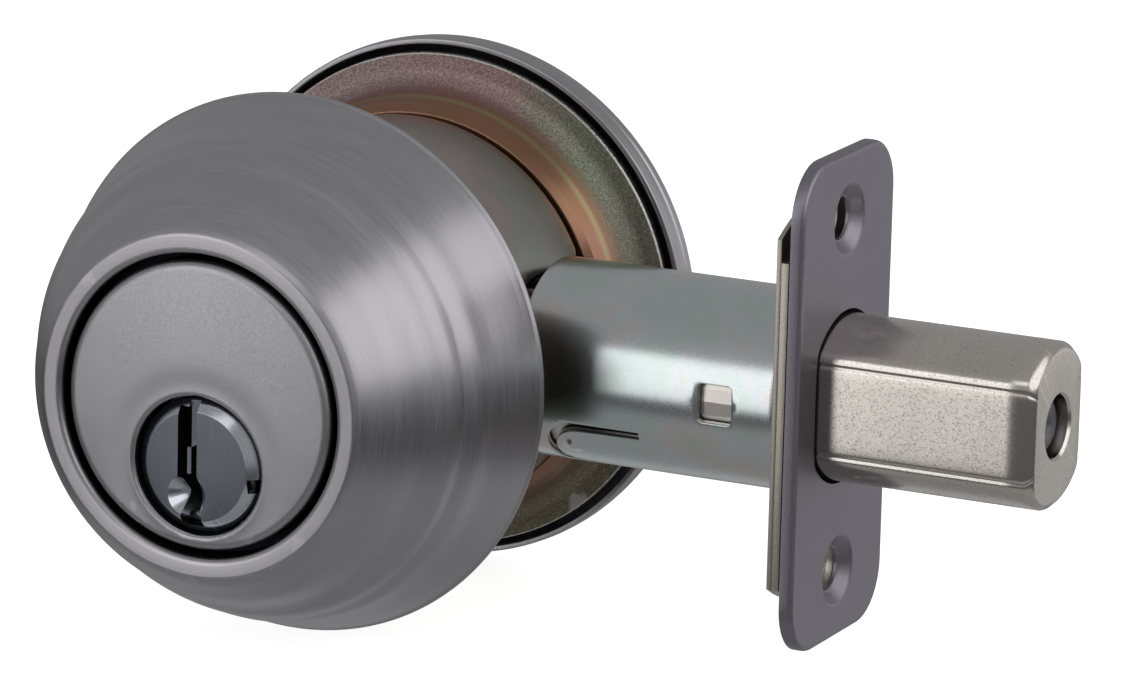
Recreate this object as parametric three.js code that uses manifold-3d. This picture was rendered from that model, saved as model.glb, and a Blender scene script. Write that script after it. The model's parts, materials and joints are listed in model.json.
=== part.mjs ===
// Single-cylinder deadbolt door lock, in millimetres.
// +X is the way the bolt is thrown, +Y runs through the door from the keyed side to the thumbturn side,
// and +Z is up.
// The origin is where the cross-bore axis meets the bolt axis.
import * as THREE from "three";
import { mergeVertices } from "three/addons/utils/BufferGeometryUtils.js";
import Module from "manifold-3d";

const wasm = await Module();
wasm.setup();

// ---------------------------------------------------------------- driving dimensions
const GAP = 0.3; // clearance between neighbouring pieces
const ROUND_SEGMENTS = 48; // large turned pieces
const BORE_SEGMENTS = 28; // middling bores and shafts
const SMALL_SEGMENTS = 14; // pins, rivets, screws

const BACKSET = 60.325; // lock axis to the front of the faceplate, 2-3/8 in
const THROW = 25.4; // bolt travel, 1 in
const PLUG_DROP = 6.9; // plug, tailpiece, crank and thumbturn axis below the lock axis
const PLUG_Z = -PLUG_DROP;

const GUARD_BACK_Y = -19; // guard edge on the exterior door face
const GUARD_RADIUS = 31.7;
const GUARD_CURVE_STEPS = 3;
const LIP_RADIUS = 18.07; // opening in the front of the guard
const FACE_Y = -43.25; // front of the cylinder
const FACE_RADIUS = 16.77;
const FACE_THICKNESS = 4.05;
const HOUSING_RADIUS = 14.6;
const HOUSING_BACK_Y = -17;
const PLUG_FLANGE_RADIUS = 7.85;
const PLUG_RADIUS = 6.35;
const PLUG_BACK_Y = -14.5;
const PIN_COUNT = 5;
const PIN_PITCH = 4;
const FIRST_PIN_Y = -37.6;
const CHAMBER_RADIUS = 1.6;
const PIN_RADIUS = 1.3;

const SLEEVE_RADIUS = 23.9;
const SLEEVE_WALL = 1.5;
const SLEEVE_FRONT_Y = -33.2;
const SLEEVE_BACK_Y = 9.4;
const SCREW_X = 11.2; // mounting screws either side of the crank
const SCREW_Z = -3.5;
const SCREW_RADIUS = 2.35;

const PLATE_Y = 17.5; // mounting plate flange on the interior door face
const PLATE_RADIUS = 29.9;
const PLATE_WEB_Y = 10.3;
const PLATE_BOSS_RADIUS = 24.55;
const SHEET = 1.2; // pressed steel thickness
const ROSE_RADIUS = 31.5;
const ROSE_FRONT_Y = 18.3;
const ROSE_FACE_Y = 26.4;
const ROSE_SCREW_X = 19.5;

const TUBE_RADIUS = 11.65;
const TUBE_WALL = 0.8;
const TUBE_START_X = 24.2; // just clear of the sleeve
const CASE_RADIUS = 10.6; // inner case, a slide fit in the tube
const BOLT_RADIUS = 9.67; // round top and bottom of the bolt
const CASE_BORE = BOLT_RADIUS + GAP;
const BOLT_HALF_WIDTH = 7.5; // flat sides of the bolt
const BOLT_END_X = 86.7; // extended
const ROLLER_INSET = 1.2; // the roller lies this far inside the end of the bolt
const BOLT_SHOULDER_X = 52.2; // full section starts here, extended
const NECK_REAR_X = 39.6;
const NECK_HALF_WIDTH = 3.9;
const CHEEK_INSIDE = 4.2; // inner case walls either side of the crank
const CHEEK_OUTSIDE = 5.3;

const FACEPLATE = { height: 57.15, width: 25.4, corner: 6.35, thickness: 1.6 };
const FACEPLATE_SCREW_Z = 20.64; // half of 1-5/8 in
const BACKPLATE = { height: 47.6, width: 24.6, thickness: 1.5, collar: 2.3 };
const BACKPLATE_FRONT_X = BACKSET - FACEPLATE.thickness - GAP;
// End of the collar that the tube butts on.
const COLLAR_X = BACKPLATE_FRONT_X - BACKPLATE.thickness - BACKPLATE.collar;

const CRANK_SWING = Math.PI / 4; // either side of upright
const CRANK_RADIUS = THROW / 2 / Math.sin(CRANK_SWING);
const CRANK_PIN_RADIUS = 1.5;
const BLADE = { thickness: 1.6, width: 4.6, end: 25.4 };

// ---------------------------------------------------------------- solids from three.js geometry
/** A closed manifold solid from a three.js geometry, turned to face outwards. */
function solid(geometry) {
  const bare = geometry.clone();
  bare.deleteAttribute("normal");
  bare.deleteAttribute("uv");
  const merged = mergeVertices(bare, 1e-4);
  const position = merged.attributes.position.array;
  const triangles = [];
  let volume = 0;
  const corner = (i) => new THREE.Vector3().fromArray(position, 3 * i);
  for (let k = 0; k < merged.index.count; k += 3) {
    const [a, b, c] = [0, 1, 2].map((n) => merged.index.getX(k + n));
    if (a === b || b === c || c === a) continue;
    triangles.push(a, b, c);
    volume += corner(a).dot(corner(b).cross(corner(c)));
  }
  if (volume < 0) triangles.reverse();
  return new wasm.Manifold(
    new wasm.Mesh({
      numProp: 3,
      vertProperties: new Float32Array(position),
      triVerts: new Uint32Array(triangles),
    }),
  );
}

/** Cuts every tool from a solid. */
function cut(body, ...tools) {
  return tools.flat().reduce((rest, tool) => rest.subtract(tool), body);
}

/** Joins solids into one. */
function join(...bodies) {
  return bodies.flat().reduce((whole, body) => whole.add(body));
}

/** Turned about the Y axis, or a parallel axis at x, z; profile is a list of [radius, y]. */
function turned(profile, segments = ROUND_SEGMENTS, x = 0, z = 0) {
  const points = profile.map(([radius, y]) => new THREE.Vector2(radius, y));
  return solid(new THREE.LatheGeometry(points, segments).translate(x, 0, z));
}

/** A turned ring: the profile closes on itself. */
function ring(profile, segments = ROUND_SEGMENTS, x = 0, z = 0) {
  return turned([...profile, profile[0]], segments, x, z);
}

/** Round bar along Y between y0 and y1. */
function barY(radius, y0, y1, x = 0, z = 0, segments = SMALL_SEGMENTS) {
  const bar = new THREE.CylinderGeometry(radius, radius, y1 - y0, segments);
  return solid(bar.translate(x, (y0 + y1) / 2, z));
}

/** Round bar or cone along X; radius0 is at x0. */
function barX(radius0, radius1, x0, x1, z = 0, segments = BORE_SEGMENTS, y = 0) {
  const bar = new THREE.CylinderGeometry(radius1, radius0, x1 - x0, segments);
  bar.rotateZ(-Math.PI / 2);
  return solid(bar.translate((x0 + x1) / 2, y, z));
}

/** Turned about a vertical axis at x, y; profile is a list of [radius, z]. */
function turnedZ(profile, y, segments = SMALL_SEGMENTS) {
  const points = profile.map(([radius, z]) => new THREE.Vector2(radius, z));
  const geometry = new THREE.LatheGeometry(points, segments);
  return solid(geometry.rotateX(Math.PI / 2).translate(0, y, 0));
}

/** Box between two corners. */
function box(x0, x1, y0, y1, z0, z1) {
  const geometry = new THREE.BoxGeometry(x1 - x0, y1 - y0, z1 - z0);
  return solid(geometry.translate((x0 + x1) / 2, (y0 + y1) / 2, (z0 + z1) / 2));
}

/** Prism along Y of a shape drawn in x, z. */
function prismY(shape, y0, y1, curveSegments = 6) {
  const options = { depth: y1 - y0, bevelEnabled: false, curveSegments };
  const geometry = new THREE.ExtrudeGeometry(shape, options);
  return solid(geometry.rotateX(Math.PI / 2).translate(0, y1, 0));
}

/** Prism along X of a shape drawn in y, z. */
function prismX(shape, x0, x1, curveSegments = 6) {
  const options = { depth: x1 - x0, bevelEnabled: false, curveSegments };
  const geometry = new THREE.ExtrudeGeometry(shape, options);
  const turn = new THREE.Matrix4().makeBasis(
    new THREE.Vector3(0, 1, 0),
    new THREE.Vector3(0, 0, 1),
    new THREE.Vector3(1, 0, 0),
  );
  return solid(geometry.applyMatrix4(turn).translate(x0, 0, 0));
}

/** Rectangle with rounded corners, centred on u, v. */
function roundedRectangle(width, height, corner) {
  const shape = new THREE.Shape();
  const [a, b] = [width / 2, height / 2];
  shape.moveTo(-a + corner, -b);
  shape.lineTo(a - corner, -b);
  shape.absarc(a - corner, -b + corner, corner, -Math.PI / 2, 0, false);
  shape.absarc(a - corner, b - corner, corner, 0, Math.PI / 2, false);
  shape.absarc(-a + corner, b - corner, corner, Math.PI / 2, Math.PI, false);
  shape.absarc(-a + corner, -b + corner, corner, Math.PI, 1.5 * Math.PI, false);
  return shape;
}

/** Section of the bolt in y, z: round top and bottom, flat sides; grow widens it all round. */
function boltSection(grow = 0) {
  const radius = BOLT_RADIUS + grow;
  const half = BOLT_HALF_WIDTH + grow;
  const angle = Math.acos(half / radius);
  const shape = new THREE.Shape();
  shape.absarc(0, 0, radius, angle, Math.PI - angle, false);
  shape.absarc(0, 0, radius, Math.PI + angle, 2 * Math.PI - angle, false);
  return shape;
}

// ---------------------------------------------------------------- finishes and the assembly
function finish(color, roughness, metalness = 1) {
  return { color, roughness, metalness };
}
const FINISHES = {
  satinNickel: finish(0x77757b, 0.38),
  cylinderNickel: finish(0x8a888c, 0.36),
  plugNickel: finish(0x8d97a3, 0.25),
  plateNickel: finish(0x6c6971, 0.45),
  boltSteel: finish(0xa69c92, 0.3),
  zincBlue: finish(0x9aa5a3, 0.28),
  zincYellow: finish(0x9c8673, 0.4),
  sleeveSteel: finish(0x857d76, 0.35),
  brass: finish(0xb5965a, 0.35),
  springSteel: finish(0x9a9a98, 0.3),
  darkSteel: finish(0x55565a, 0.45),
  nylon: finish(0xd8d4c8, 0.6, 0),
};

const lock = new THREE.Group();

function add(name, finishName, body) {
  const mesh = body.getMesh();
  const geometry = new THREE.BufferGeometry();
  const count = mesh.numProp;
  const position = new Float32Array(mesh.numVert * 3);
  for (let i = 0; i < mesh.numVert; i += 1) {
    position.set(mesh.vertProperties.subarray(i * count, i * count + 3), i * 3);
  }
  geometry.setAttribute("position", new THREE.BufferAttribute(position, 3));
  geometry.setIndex(new THREE.BufferAttribute(new Uint32Array(mesh.triVerts), 1));
  geometry.computeVertexNormals();
  const part = new THREE.Mesh(geometry, new THREE.MeshStandardMaterial(FINISHES[finishName]));
  part.name = name;
  lock.add(part);
}

const sides = [
  ["left", -1],
  ["right", 1],
];

// ---------------------------------------------------------------- exterior: guard, sleeve, cylinder
/** Outside of the guard from the lip to the door: rolled lip, two soft bands and a flared skirt. */
function guardOutline() {
  const path = new THREE.Path();
  path.moveTo(LIP_RADIUS, -42.2);
  path.quadraticCurveTo(LIP_RADIUS, -43.1, 19.3, -43.1);
  path.quadraticCurveTo(20.6, -43.1, 21.6, -41.2);
  path.bezierCurveTo(22.3, -39.8, 23.4, -38.6, 23.9, -37.2);
  path.bezierCurveTo(24.6, -35.4, 26.9, -33.0, 27.6, -31.0);
  path.quadraticCurveTo(27.9, -29.6, 27.8, -28.6);
  path.bezierCurveTo(28.6, -26.4, 30.6, -23.4, GUARD_RADIUS, GUARD_BACK_Y);
  return path.getPoints(GUARD_CURVE_STEPS).map(({ x, y }) => [x, y]);
}

function cylinderGuard() {
  const wall = 1.8;
  const webFront = FACE_Y + FACE_THICKNESS + 0.5;
  const webBack = webFront + 2.2;
  const bore = HOUSING_RADIUS + 0.8;
  const inside = [
    [GUARD_RADIUS - wall, GUARD_BACK_Y],
    [27.9, -24.0],
    [26.0, -28.2],
    [24.9, -31.6],
    [23.2, webBack],
    [bore, webBack],
    [bore, webFront],
    [LIP_RADIUS, webFront],
  ];
  return ring([...guardOutline(), ...inside]);
}

function guardSleeve() {
  const inner = SLEEVE_RADIUS - SLEEVE_WALL;
  const collar = HOUSING_RADIUS + 0.5;
  const cup = ring([
    [collar, SLEEVE_FRONT_Y],
    [22.6, SLEEVE_FRONT_Y],
    [SLEEVE_RADIUS, SLEEVE_FRONT_Y + 1.6],
    [SLEEVE_RADIUS, SLEEVE_BACK_Y],
    [inner, SLEEVE_BACK_Y],
    [inner, SLEEVE_FRONT_Y + 2.1],
    [22.0, SLEEVE_FRONT_Y + SLEEVE_WALL],
    [collar, SLEEVE_FRONT_Y + SLEEVE_WALL],
  ]);
  const notch = { half: 11.0, mouth: 1.2, centreY: -2 };
  const shape = new THREE.Shape();
  shape.absarc(0, notch.centreY, notch.half, Math.PI, 2 * Math.PI, false);
  shape.lineTo(notch.half, SLEEVE_BACK_Y - notch.mouth);
  const arcY = SLEEVE_BACK_Y - notch.mouth;
  shape.absarc(notch.half + notch.mouth, arcY, notch.mouth, Math.PI, Math.PI / 2, true);
  shape.lineTo(notch.half + notch.mouth, SLEEVE_BACK_Y + 1);
  shape.lineTo(-notch.half - notch.mouth, SLEEVE_BACK_Y + 1);
  shape.lineTo(-notch.half - notch.mouth, SLEEVE_BACK_Y);
  shape.absarc(-notch.half - notch.mouth, arcY, notch.mouth, Math.PI / 2, 0, true);
  const options = { depth: SLEEVE_RADIUS, bevelEnabled: false, curveSegments: 10 };
  const geometry = new THREE.ExtrudeGeometry(shape, options);
  const turn = new THREE.Matrix4().makeBasis(
    new THREE.Vector3(0, 0, 1),
    new THREE.Vector3(0, 1, 0),
    new THREE.Vector3(-1, 0, 0),
  );
  const tool = solid(geometry.applyMatrix4(turn).translate(SLEEVE_RADIUS + 2, 0, 0));
  return cut(cup, tool);
}

const pinPlaces = Array.from({ length: PIN_COUNT }, (_, i) => FIRST_PIN_Y + i * PIN_PITCH);
const shearZ = PLUG_Z + PLUG_RADIUS;
const chamberTop = HOUSING_RADIUS - 1.9;

function cylinderHousing() {
  const discBack = FACE_Y + FACE_THICKNESS;
  const body = turned([
    [0, FACE_Y + 0.45],
    [12.5, FACE_Y + 0.45],
    [15.3, FACE_Y],
    [16.3, FACE_Y + 0.12],
    [FACE_RADIUS, FACE_Y + 0.6],
    [FACE_RADIUS, discBack],
    [HOUSING_RADIUS, discBack],
    [HOUSING_RADIUS, HOUSING_BACK_Y],
    [0, HOUSING_BACK_Y],
  ]);
  const plugBore = barY(PLUG_RADIUS + GAP, FACE_Y - 1, HOUSING_BACK_Y + 1, 0, PLUG_Z, BORE_SEGMENTS);
  const flangeBore = barY(PLUG_FLANGE_RADIUS + GAP, FACE_Y - 1, -40.7, 0, PLUG_Z, BORE_SEGMENTS);
  const chambers = pinPlaces.map((y) =>
    turnedZ([[0, PLUG_Z], [CHAMBER_RADIUS, PLUG_Z], [CHAMBER_RADIUS, 20], [0, 20]], y),
  );
  const threads = sides.map(([, side]) =>
    barY(SCREW_RADIUS + GAP, -28, HOUSING_BACK_Y + 1, side * SCREW_X, SCREW_Z),
  );
  const coverSlot = box(-3.6, 3.6, -39, HOUSING_BACK_Y + 1, chamberTop, 20);
  return cut(body, plugBore, flangeBore, chambers, threads, coverSlot);
}

function chamberCover() {
  return box(-3.2, 3.2, -38.6, HOUSING_BACK_Y - 0.4, chamberTop + GAP, chamberTop + 1.3);
}

/** Warded keyway in x, z: an upper and a lower slot stepped sideways. */
function keywaySection() {
  const [top, step, bottom] = [5.4, -0.6, -5.5];
  const outline = [
    [-2.0, top],
    [-0.75, top],
    [-0.75, step + 0.7],
    [0.5, step + 0.3],
    [0.5, step - 2.6],
    [0.2, step - 3.0],
    [0.2, bottom],
    [-1.1, bottom],
    [-1.1, step - 1.6],
    [-1.5, step - 1.2],
    [-2.0, step - 0.8],
  ];
  return new THREE.Shape(outline.map(([x, z]) => new THREE.Vector2(x, z + PLUG_Z)));
}

function plug() {
  const groove = { front: -16.55, back: -15.45, radius: 5.3 };
  const body = turned(
    [
      [0, FACE_Y + 0.15],
      [6.2, FACE_Y + 0.15],
      [PLUG_FLANGE_RADIUS, FACE_Y + 1.35],
      [PLUG_FLANGE_RADIUS, -41],
      [PLUG_RADIUS, -41],
      [PLUG_RADIUS, groove.front],
      [groove.radius, groove.front],
      [groove.radius, groove.back],
      [PLUG_RADIUS - 0.4, groove.back],
      [PLUG_RADIUS - 0.4, PLUG_BACK_Y],
      [0, PLUG_BACK_Y],
    ],
    36,
    0,
    PLUG_Z,
  );
  const keyway = prismY(keywaySection(), FACE_Y - 1, PLUG_BACK_Y + 1);
  const cone = [[0, FACE_Y + 2.2], [2.5, FACE_Y - 0.1], [0, FACE_Y - 0.1]];
  const scoop = turned(cone, 20, -0.65, PLUG_Z - 3.5);
  const chambers = pinPlaces.map((y) =>
    turnedZ([[0, PLUG_Z - 1], [CHAMBER_RADIUS, PLUG_Z - 1], [CHAMBER_RADIUS, 1], [0, 1]], y),
  );
  return cut(body, keyway, scoop, chambers);
}

function keyPin(y, index) {
  const top = shearZ - 0.25;
  const length = 3.4 + 0.35 * ((index * 2) % 5);
  const tip = top - length;
  return turnedZ([[0, tip], [0.5, tip], [PIN_RADIUS, tip + 0.9], [PIN_RADIUS, top], [0, top]], y);
}

function driverPin(y) {
  const [bottom, top] = [shearZ + 0.25, shearZ + 5.3];
  return turnedZ([[0, bottom], [PIN_RADIUS, bottom], [PIN_RADIUS, top], [0, top]], y);
}

function pinSpring(y) {
  const [bottom, top, turns, stepsPerTurn] = [shearZ + 5.75, chamberTop - 0.15, 5, 6];
  const [coilRadius, wireRadius] = [1.05, 0.17];
  const points = [];
  for (let i = 0; i <= turns * stepsPerTurn; i += 1) {
    const angle = (2 * Math.PI * i) / stepsPerTurn;
    const z = bottom + wireRadius + ((top - bottom - 2 * wireRadius) * i) / (turns * stepsPerTurn);
    points.push(new THREE.Vector3(coilRadius * Math.cos(angle), y + coilRadius * Math.sin(angle), z));
  }
  const wire = new THREE.Shape();
  wire.absarc(0, 0, wireRadius, 0, 2 * Math.PI, false);
  const path = new THREE.CatmullRomCurve3(points);
  const options = { steps: points.length - 1, extrudePath: path, bevelEnabled: false, curveSegments: 3 };
  return solid(new THREE.ExtrudeGeometry(wire, options));
}

function plugClip() {
  const clip = ring(
    [[5.6, -16.3], [7.9, -16.3], [7.9, -15.7], [5.6, -15.7]],
    32,
    0,
    PLUG_Z,
  );
  return cut(clip, box(-3.2, 3.2, -17, -15, PLUG_Z - 9, PLUG_Z - 2));
}

function plugCap() {
  const profile = [[3.6, -11.6], [6.2, -11.6], [6.2, -14.2], [5.3, -14.2], [5.3, -12.4], [3.6, -12.4]];
  return ring(profile, 32, 0, PLUG_Z);
}

function tailpiece() {
  const head = barY(4.9, -14.0, -12.75, 0, PLUG_Z, 24);
  const { thickness, width, end } = BLADE;
  const [z0, z1] = [PLUG_Z - width / 2, PLUG_Z + width / 2];
  return join(head, box(-thickness / 2, thickness / 2, -13.5, end, z0, z1));
}

// ---------------------------------------------------------------- interior: plate, rose, thumbturn
function mountingPlate() {
  const dish = turned([
    [0, PLATE_WEB_Y],
    [PLATE_BOSS_RADIUS - 0.7, PLATE_WEB_Y],
    [PLATE_BOSS_RADIUS, PLATE_WEB_Y + 0.6],
    [26.1, 15.9],
    [27.0, PLATE_Y - 0.1],
    [27.6, PLATE_Y],
    [PLATE_RADIUS, PLATE_Y],
    [PLATE_RADIUS, PLATE_Y + SHEET],
    [26.6, PLATE_Y + SHEET],
    [25.2, 17.2],
    [PLATE_BOSS_RADIUS - SHEET, PLATE_WEB_Y + SHEET],
    [0, PLATE_WEB_Y + SHEET],
  ]);
  const screwHoles = sides.map(([, side]) => barY(SCREW_RADIUS + 0.4, 8, 14, side * SCREW_X, SCREW_Z));
  const roseHoles = sides.map(([, side]) => barY(2, 8, 14, side * ROSE_SCREW_X, 0));
  const bladeHole = barY(5.2, 8, 14, 0, PLUG_Z, 20);
  const tubeRadius = TUBE_RADIUS + GAP;
  const scallop = barX(tubeRadius, tubeRadius, TUBE_START_X - GAP, PLATE_RADIUS, 0, 56);
  return cut(dish, screwHoles, roseHoles, bladeHole, scallop);
}

function mountingScrew(side) {
  const headY = PLATE_WEB_Y + SHEET + GAP;
  const screw = turned(
    [
      [0, -26],
      [SCREW_RADIUS - 0.5, -26],
      [SCREW_RADIUS, -25.2],
      [SCREW_RADIUS, headY],
      [4.3, headY],
      [4.1, headY + 1.6],
      [3.0, headY + 2.7],
      [0, headY + 2.7],
    ],
    20,
    side * SCREW_X,
    SCREW_Z,
  );
  const crossSlots = [
    box(-2.2, 2.2, headY + 1.2, headY + 4, -0.5, 0.5),
    box(-0.5, 0.5, headY + 1.2, headY + 4, -2.2, 2.2),
  ].map((tool) => tool.translate([side * SCREW_X, 0, SCREW_Z]));
  return cut(screw, crossSlots);
}

function rose() {
  const dome = turned([
    [ROSE_RADIUS - 0.7, ROSE_FRONT_Y],
    [ROSE_RADIUS, ROSE_FRONT_Y],
    [ROSE_RADIUS, 20.4],
    [31.2, 20.7],
    [ROSE_RADIUS, 21.0],
    [31.3, 22.2],
    [30.4, 23.4],
    [28.4, 24.9],
    [26.2, 26.0],
    [24.4, ROSE_FACE_Y],
    [0, ROSE_FACE_Y],
    [0, ROSE_FACE_Y - SHEET],
    [24.0, ROSE_FACE_Y - SHEET],
    [25.8, 24.8],
    [27.8, 23.8],
    [29.6, 22.6],
    [30.3, 21.6],
    [ROSE_RADIUS - 0.7, 20.8],
    [ROSE_RADIUS - 0.7, ROSE_FRONT_Y],
  ]);
  const shaftHole = barY(4.9, 24, 28, 0, PLUG_Z, 24);
  const screwHoles = sides.map(([, side]) =>
    turned(
      [[0, 24], [2.1, 24], [2.1, ROSE_FACE_Y - 0.9], [3.9, ROSE_FACE_Y + 0.9], [0, ROSE_FACE_Y + 0.9]],
      20,
      side * ROSE_SCREW_X,
      0,
    ),
  );
  return cut(dome, shaftHole, screwHoles);
}

function roseScrew(side) {
  const shank = 1.65;
  const head = turned(
    [
      [0, 9.2],
      [shank, 9.2],
      [shank, ROSE_FACE_Y - 0.9],
      [3.2, ROSE_FACE_Y + 0.35],
      [2.2, ROSE_FACE_Y + 0.75],
      [0, ROSE_FACE_Y + 0.9],
    ],
    18,
    side * ROSE_SCREW_X,
    0,
  );
  const slots = [box(-1.5, 1.5, 26.3, 28, -0.35, 0.35), box(-0.35, 0.35, 26.3, 28, -1.5, 1.5)];
  return cut(head, slots.map((tool) => tool.translate([side * ROSE_SCREW_X, 0, 0])));
}

function thumbturn() {
  const hubY = ROSE_FACE_Y + 0.4;
  const hub = turned(
    [
      [0, 20.2],
      [4.3, 20.2],
      [4.3, 21.6],
      [3.6, 21.6],
      [3.6, 22.6],
      [4.3, 22.6],
      [4.3, hubY],
      [9.6, hubY],
      [9.6, hubY + 1.6],
      [7.4, hubY + 3.2],
      [5.6, hubY + 5.5],
      [0, hubY + 5.5],
    ],
    40,
    0,
    PLUG_Z,
  );
  const grip = new THREE.Shape();
  const [foot, shoulder, crown, reach, half] = [hubY + 1.8, hubY + 8.2, 45.2, 17.5, 4.6];
  grip.moveTo(-half, foot);
  grip.lineTo(half, foot);
  grip.bezierCurveTo(half + 1.5, foot + 3, reach - 3, foot + 2.5, reach, shoulder);
  grip.bezierCurveTo(reach + 1.2, shoulder + 3.4, reach - 1, crown - 1.2, reach - 4.5, crown - 0.5);
  grip.bezierCurveTo(8, crown - 0.1, 5, crown - 1.4, 0, crown - 1.4);
  grip.bezierCurveTo(-5, crown - 1.4, -8, crown - 0.1, -reach + 4.5, crown - 0.5);
  grip.bezierCurveTo(-reach + 1, crown - 1.2, -reach - 1.2, shoulder + 3.4, -reach, shoulder);
  grip.bezierCurveTo(-reach + 3, foot + 2.5, -half - 1.5, foot + 3, -half, foot);
  const bevel = 0.9;
  const options = {
    depth: 5.4 - 2 * bevel,
    bevelEnabled: true,
    bevelThickness: bevel,
    bevelSize: bevel,
    bevelOffset: -bevel,
    bevelSegments: 1,
    curveSegments: 6,
  };
  const paddle = solid(new THREE.ExtrudeGeometry(grip, options).translate(0, 0, PLUG_Z - 2.7 + bevel));
  const slot = { x: BLADE.thickness / 2 + GAP, z: BLADE.width / 2 + GAP };
  const bladeSlot = box(-slot.x, slot.x, 19, BLADE.end + GAP, PLUG_Z - slot.z, PLUG_Z + slot.z);
  return cut(join(hub, paddle), bladeSlot);
}

function thumbturnClip() {
  const clip = ring([[3.9, 21.8], [6.6, 21.8], [6.6, 22.4], [3.9, 22.4]], 28, 0, PLUG_Z);
  return cut(clip, box(-8, -2, 21, 23, PLUG_Z - 2.4, PLUG_Z + 2.4));
}

function thumbturnWasher() {
  return ring([[4.7, 22.9], [7.4, 22.9], [7.4, 24.9], [4.7, 24.9]], 28, 0, PLUG_Z);
}

// ---------------------------------------------------------------- bolt assembly
function faceplate() {
  const { height, width, corner, thickness } = FACEPLATE;
  const back = BACKSET - thickness;
  const blank = prismX(roundedRectangle(width, height, corner), back, BACKSET, 5);
  const opening = prismX(boltSection(0.45), back - 1, BACKSET + 1, 7);
  const holes = [-1, 1].map((end) => {
    const z = end * FACEPLATE_SCREW_Z;
    const countersink = barX(2.6, 4.2, BACKSET - 1.4, BACKSET + 0.01, z, 24);
    return join(barX(2.5, 2.5, back - 1, BACKSET, z, 24), countersink);
  });
  return cut(blank, opening, holes);
}

function backplate() {
  const { height, width, thickness } = BACKPLATE;
  const [front, back] = [BACKPLATE_FRONT_X, BACKPLATE_FRONT_X - thickness];
  const [half, side] = [height / 2, width / 2];
  const shoulder = Math.asin(side / half);
  const shape = new THREE.Shape();
  shape.absarc(0, 0, half, Math.PI / 2 - shoulder, Math.PI / 2 + shoulder, false);
  shape.absarc(0, 0, half, 1.5 * Math.PI - shoulder, 1.5 * Math.PI + shoulder, false);
  const blank = prismX(shape, back, front, 6);
  const collar = barX(TUBE_RADIUS, TUBE_RADIUS, COLLAR_X, front, 0, 56);
  const opening = prismX(boltSection(0.6), COLLAR_X - 1, front + 1, 7);
  const holes = [-1, 1].map((end) => barX(2.8, 2.8, back - 1, front + 1, end * FACEPLATE_SCREW_Z, 20));
  return cut(join(blank, collar), opening, holes);
}

/** Cut through the tube wall; degrees run from straight up towards the exterior. */
function wallCut(x0, x1, degrees, width) {
  const tool = box(x0, x1, -width / 2, width / 2, TUBE_RADIUS - 2, TUBE_RADIUS + 2);
  return tool.rotate([degrees, 0, 0]);
}

/** Tube with its window and the U slot that frees a spring tongue. */
function boltTube() {
  const end = COLLAR_X - GAP;
  const outer = barX(TUBE_RADIUS, TUBE_RADIUS, TUBE_START_X, end, 0, 56);
  const bore = barX(TUBE_RADIUS - TUBE_WALL, TUBE_RADIUS - TUBE_WALL, TUBE_START_X - 1, end + 1, 0, 56);
  const window = wallCut(47.3, 51.5, 90, 4.6);
  const tongue = { from: 115, to: 165, rear: 27.0, front: 39.5, slot: 0.8, step: 4 };
  const middle = (tongue.from + tongue.to) / 2;
  const slots = [tongue.from, tongue.to].map((degrees) =>
    wallCut(tongue.rear + 0.4, tongue.front, degrees, tongue.slot),
  );
  for (let degrees = tongue.from + 2; degrees < tongue.to; degrees += tongue.step) {
    const bow = (0.5 * Math.abs(degrees - middle)) / (middle - tongue.from);
    slots.push(wallCut(tongue.rear + bow, tongue.rear + bow + 0.9, degrees, 1.2));
  }
  return cut(outer, bore, window, slots);
}

const rivetPlaces = [
  [-11.6, -8.4],
  [18.4, -7.8],
];

/** Half of the inner case: side is -1 for the exterior half, 1 for the interior half. */
function innerCase(side) {
  const [tubeFrom, tubeTo] = [TUBE_START_X, COLLAR_X - 2 * GAP];
  const outer = barX(CASE_RADIUS, CASE_RADIUS, tubeFrom, tubeTo, 0, 44);
  const bore = barX(CASE_BORE, CASE_BORE, tubeFrom + SHEET, tubeTo + 1, 0, 44);
  const passage = box(tubeFrom - 1, tubeFrom + 2, -CHEEK_INSIDE, CHEEK_INSIDE, -12, 12);
  const halfSpace = box(0, 100, GAP / 2, 20, -20, 20);
  const shell = cut(outer, bore, passage).intersect(side > 0 ? halfSpace : halfSpace.mirror([0, 1, 0]));
  const plate = new THREE.Shape();
  const [rear, top, bottom, round] = [-15.2, 8.6, -11.3, 6];
  plate.moveTo(tubeFrom + 0.4, bottom + 1.9);
  plate.lineTo(tubeFrom + 0.4, top);
  plate.lineTo(rear + 3, top);
  plate.absarc(rear + 3, top - 3, 3, Math.PI / 2, Math.PI, false);
  plate.lineTo(rear, bottom + round);
  plate.absarc(rear + round, bottom + round, round, Math.PI, 1.5 * Math.PI, false);
  plate.lineTo(12, bottom);
  const [near, far] = side > 0 ? [CHEEK_INSIDE, CHEEK_OUTSIDE] : [-CHEEK_OUTSIDE, -CHEEK_INSIDE];
  const cheek = prismY(plate, near, far);
  const holes = [
    barY(3.7, -8, 8, 0, PLUG_Z, 24),
    ...sides.map(([, which]) => barY(SCREW_RADIUS + 0.45, -8, 8, which * SCREW_X, SCREW_Z, 18)),
    ...rivetPlaces.map(([x, z]) => barY(1.75, -8, 8, x, z)),
  ];
  return cut(join(shell, cheek), holes);
}

function caseRivet(x, z) {
  const head = CHEEK_OUTSIDE + GAP;
  const profile = [
    [0, -head - 0.9],
    [1.6, -head - 0.9],
    [2.4, -head],
    [1.45, -head],
    [1.45, head],
    [2.4, head],
    [1.6, head + 0.9],
    [0, head + 0.9],
  ];
  return turned(profile, SMALL_SEGMENTS, x, z);
}

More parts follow.
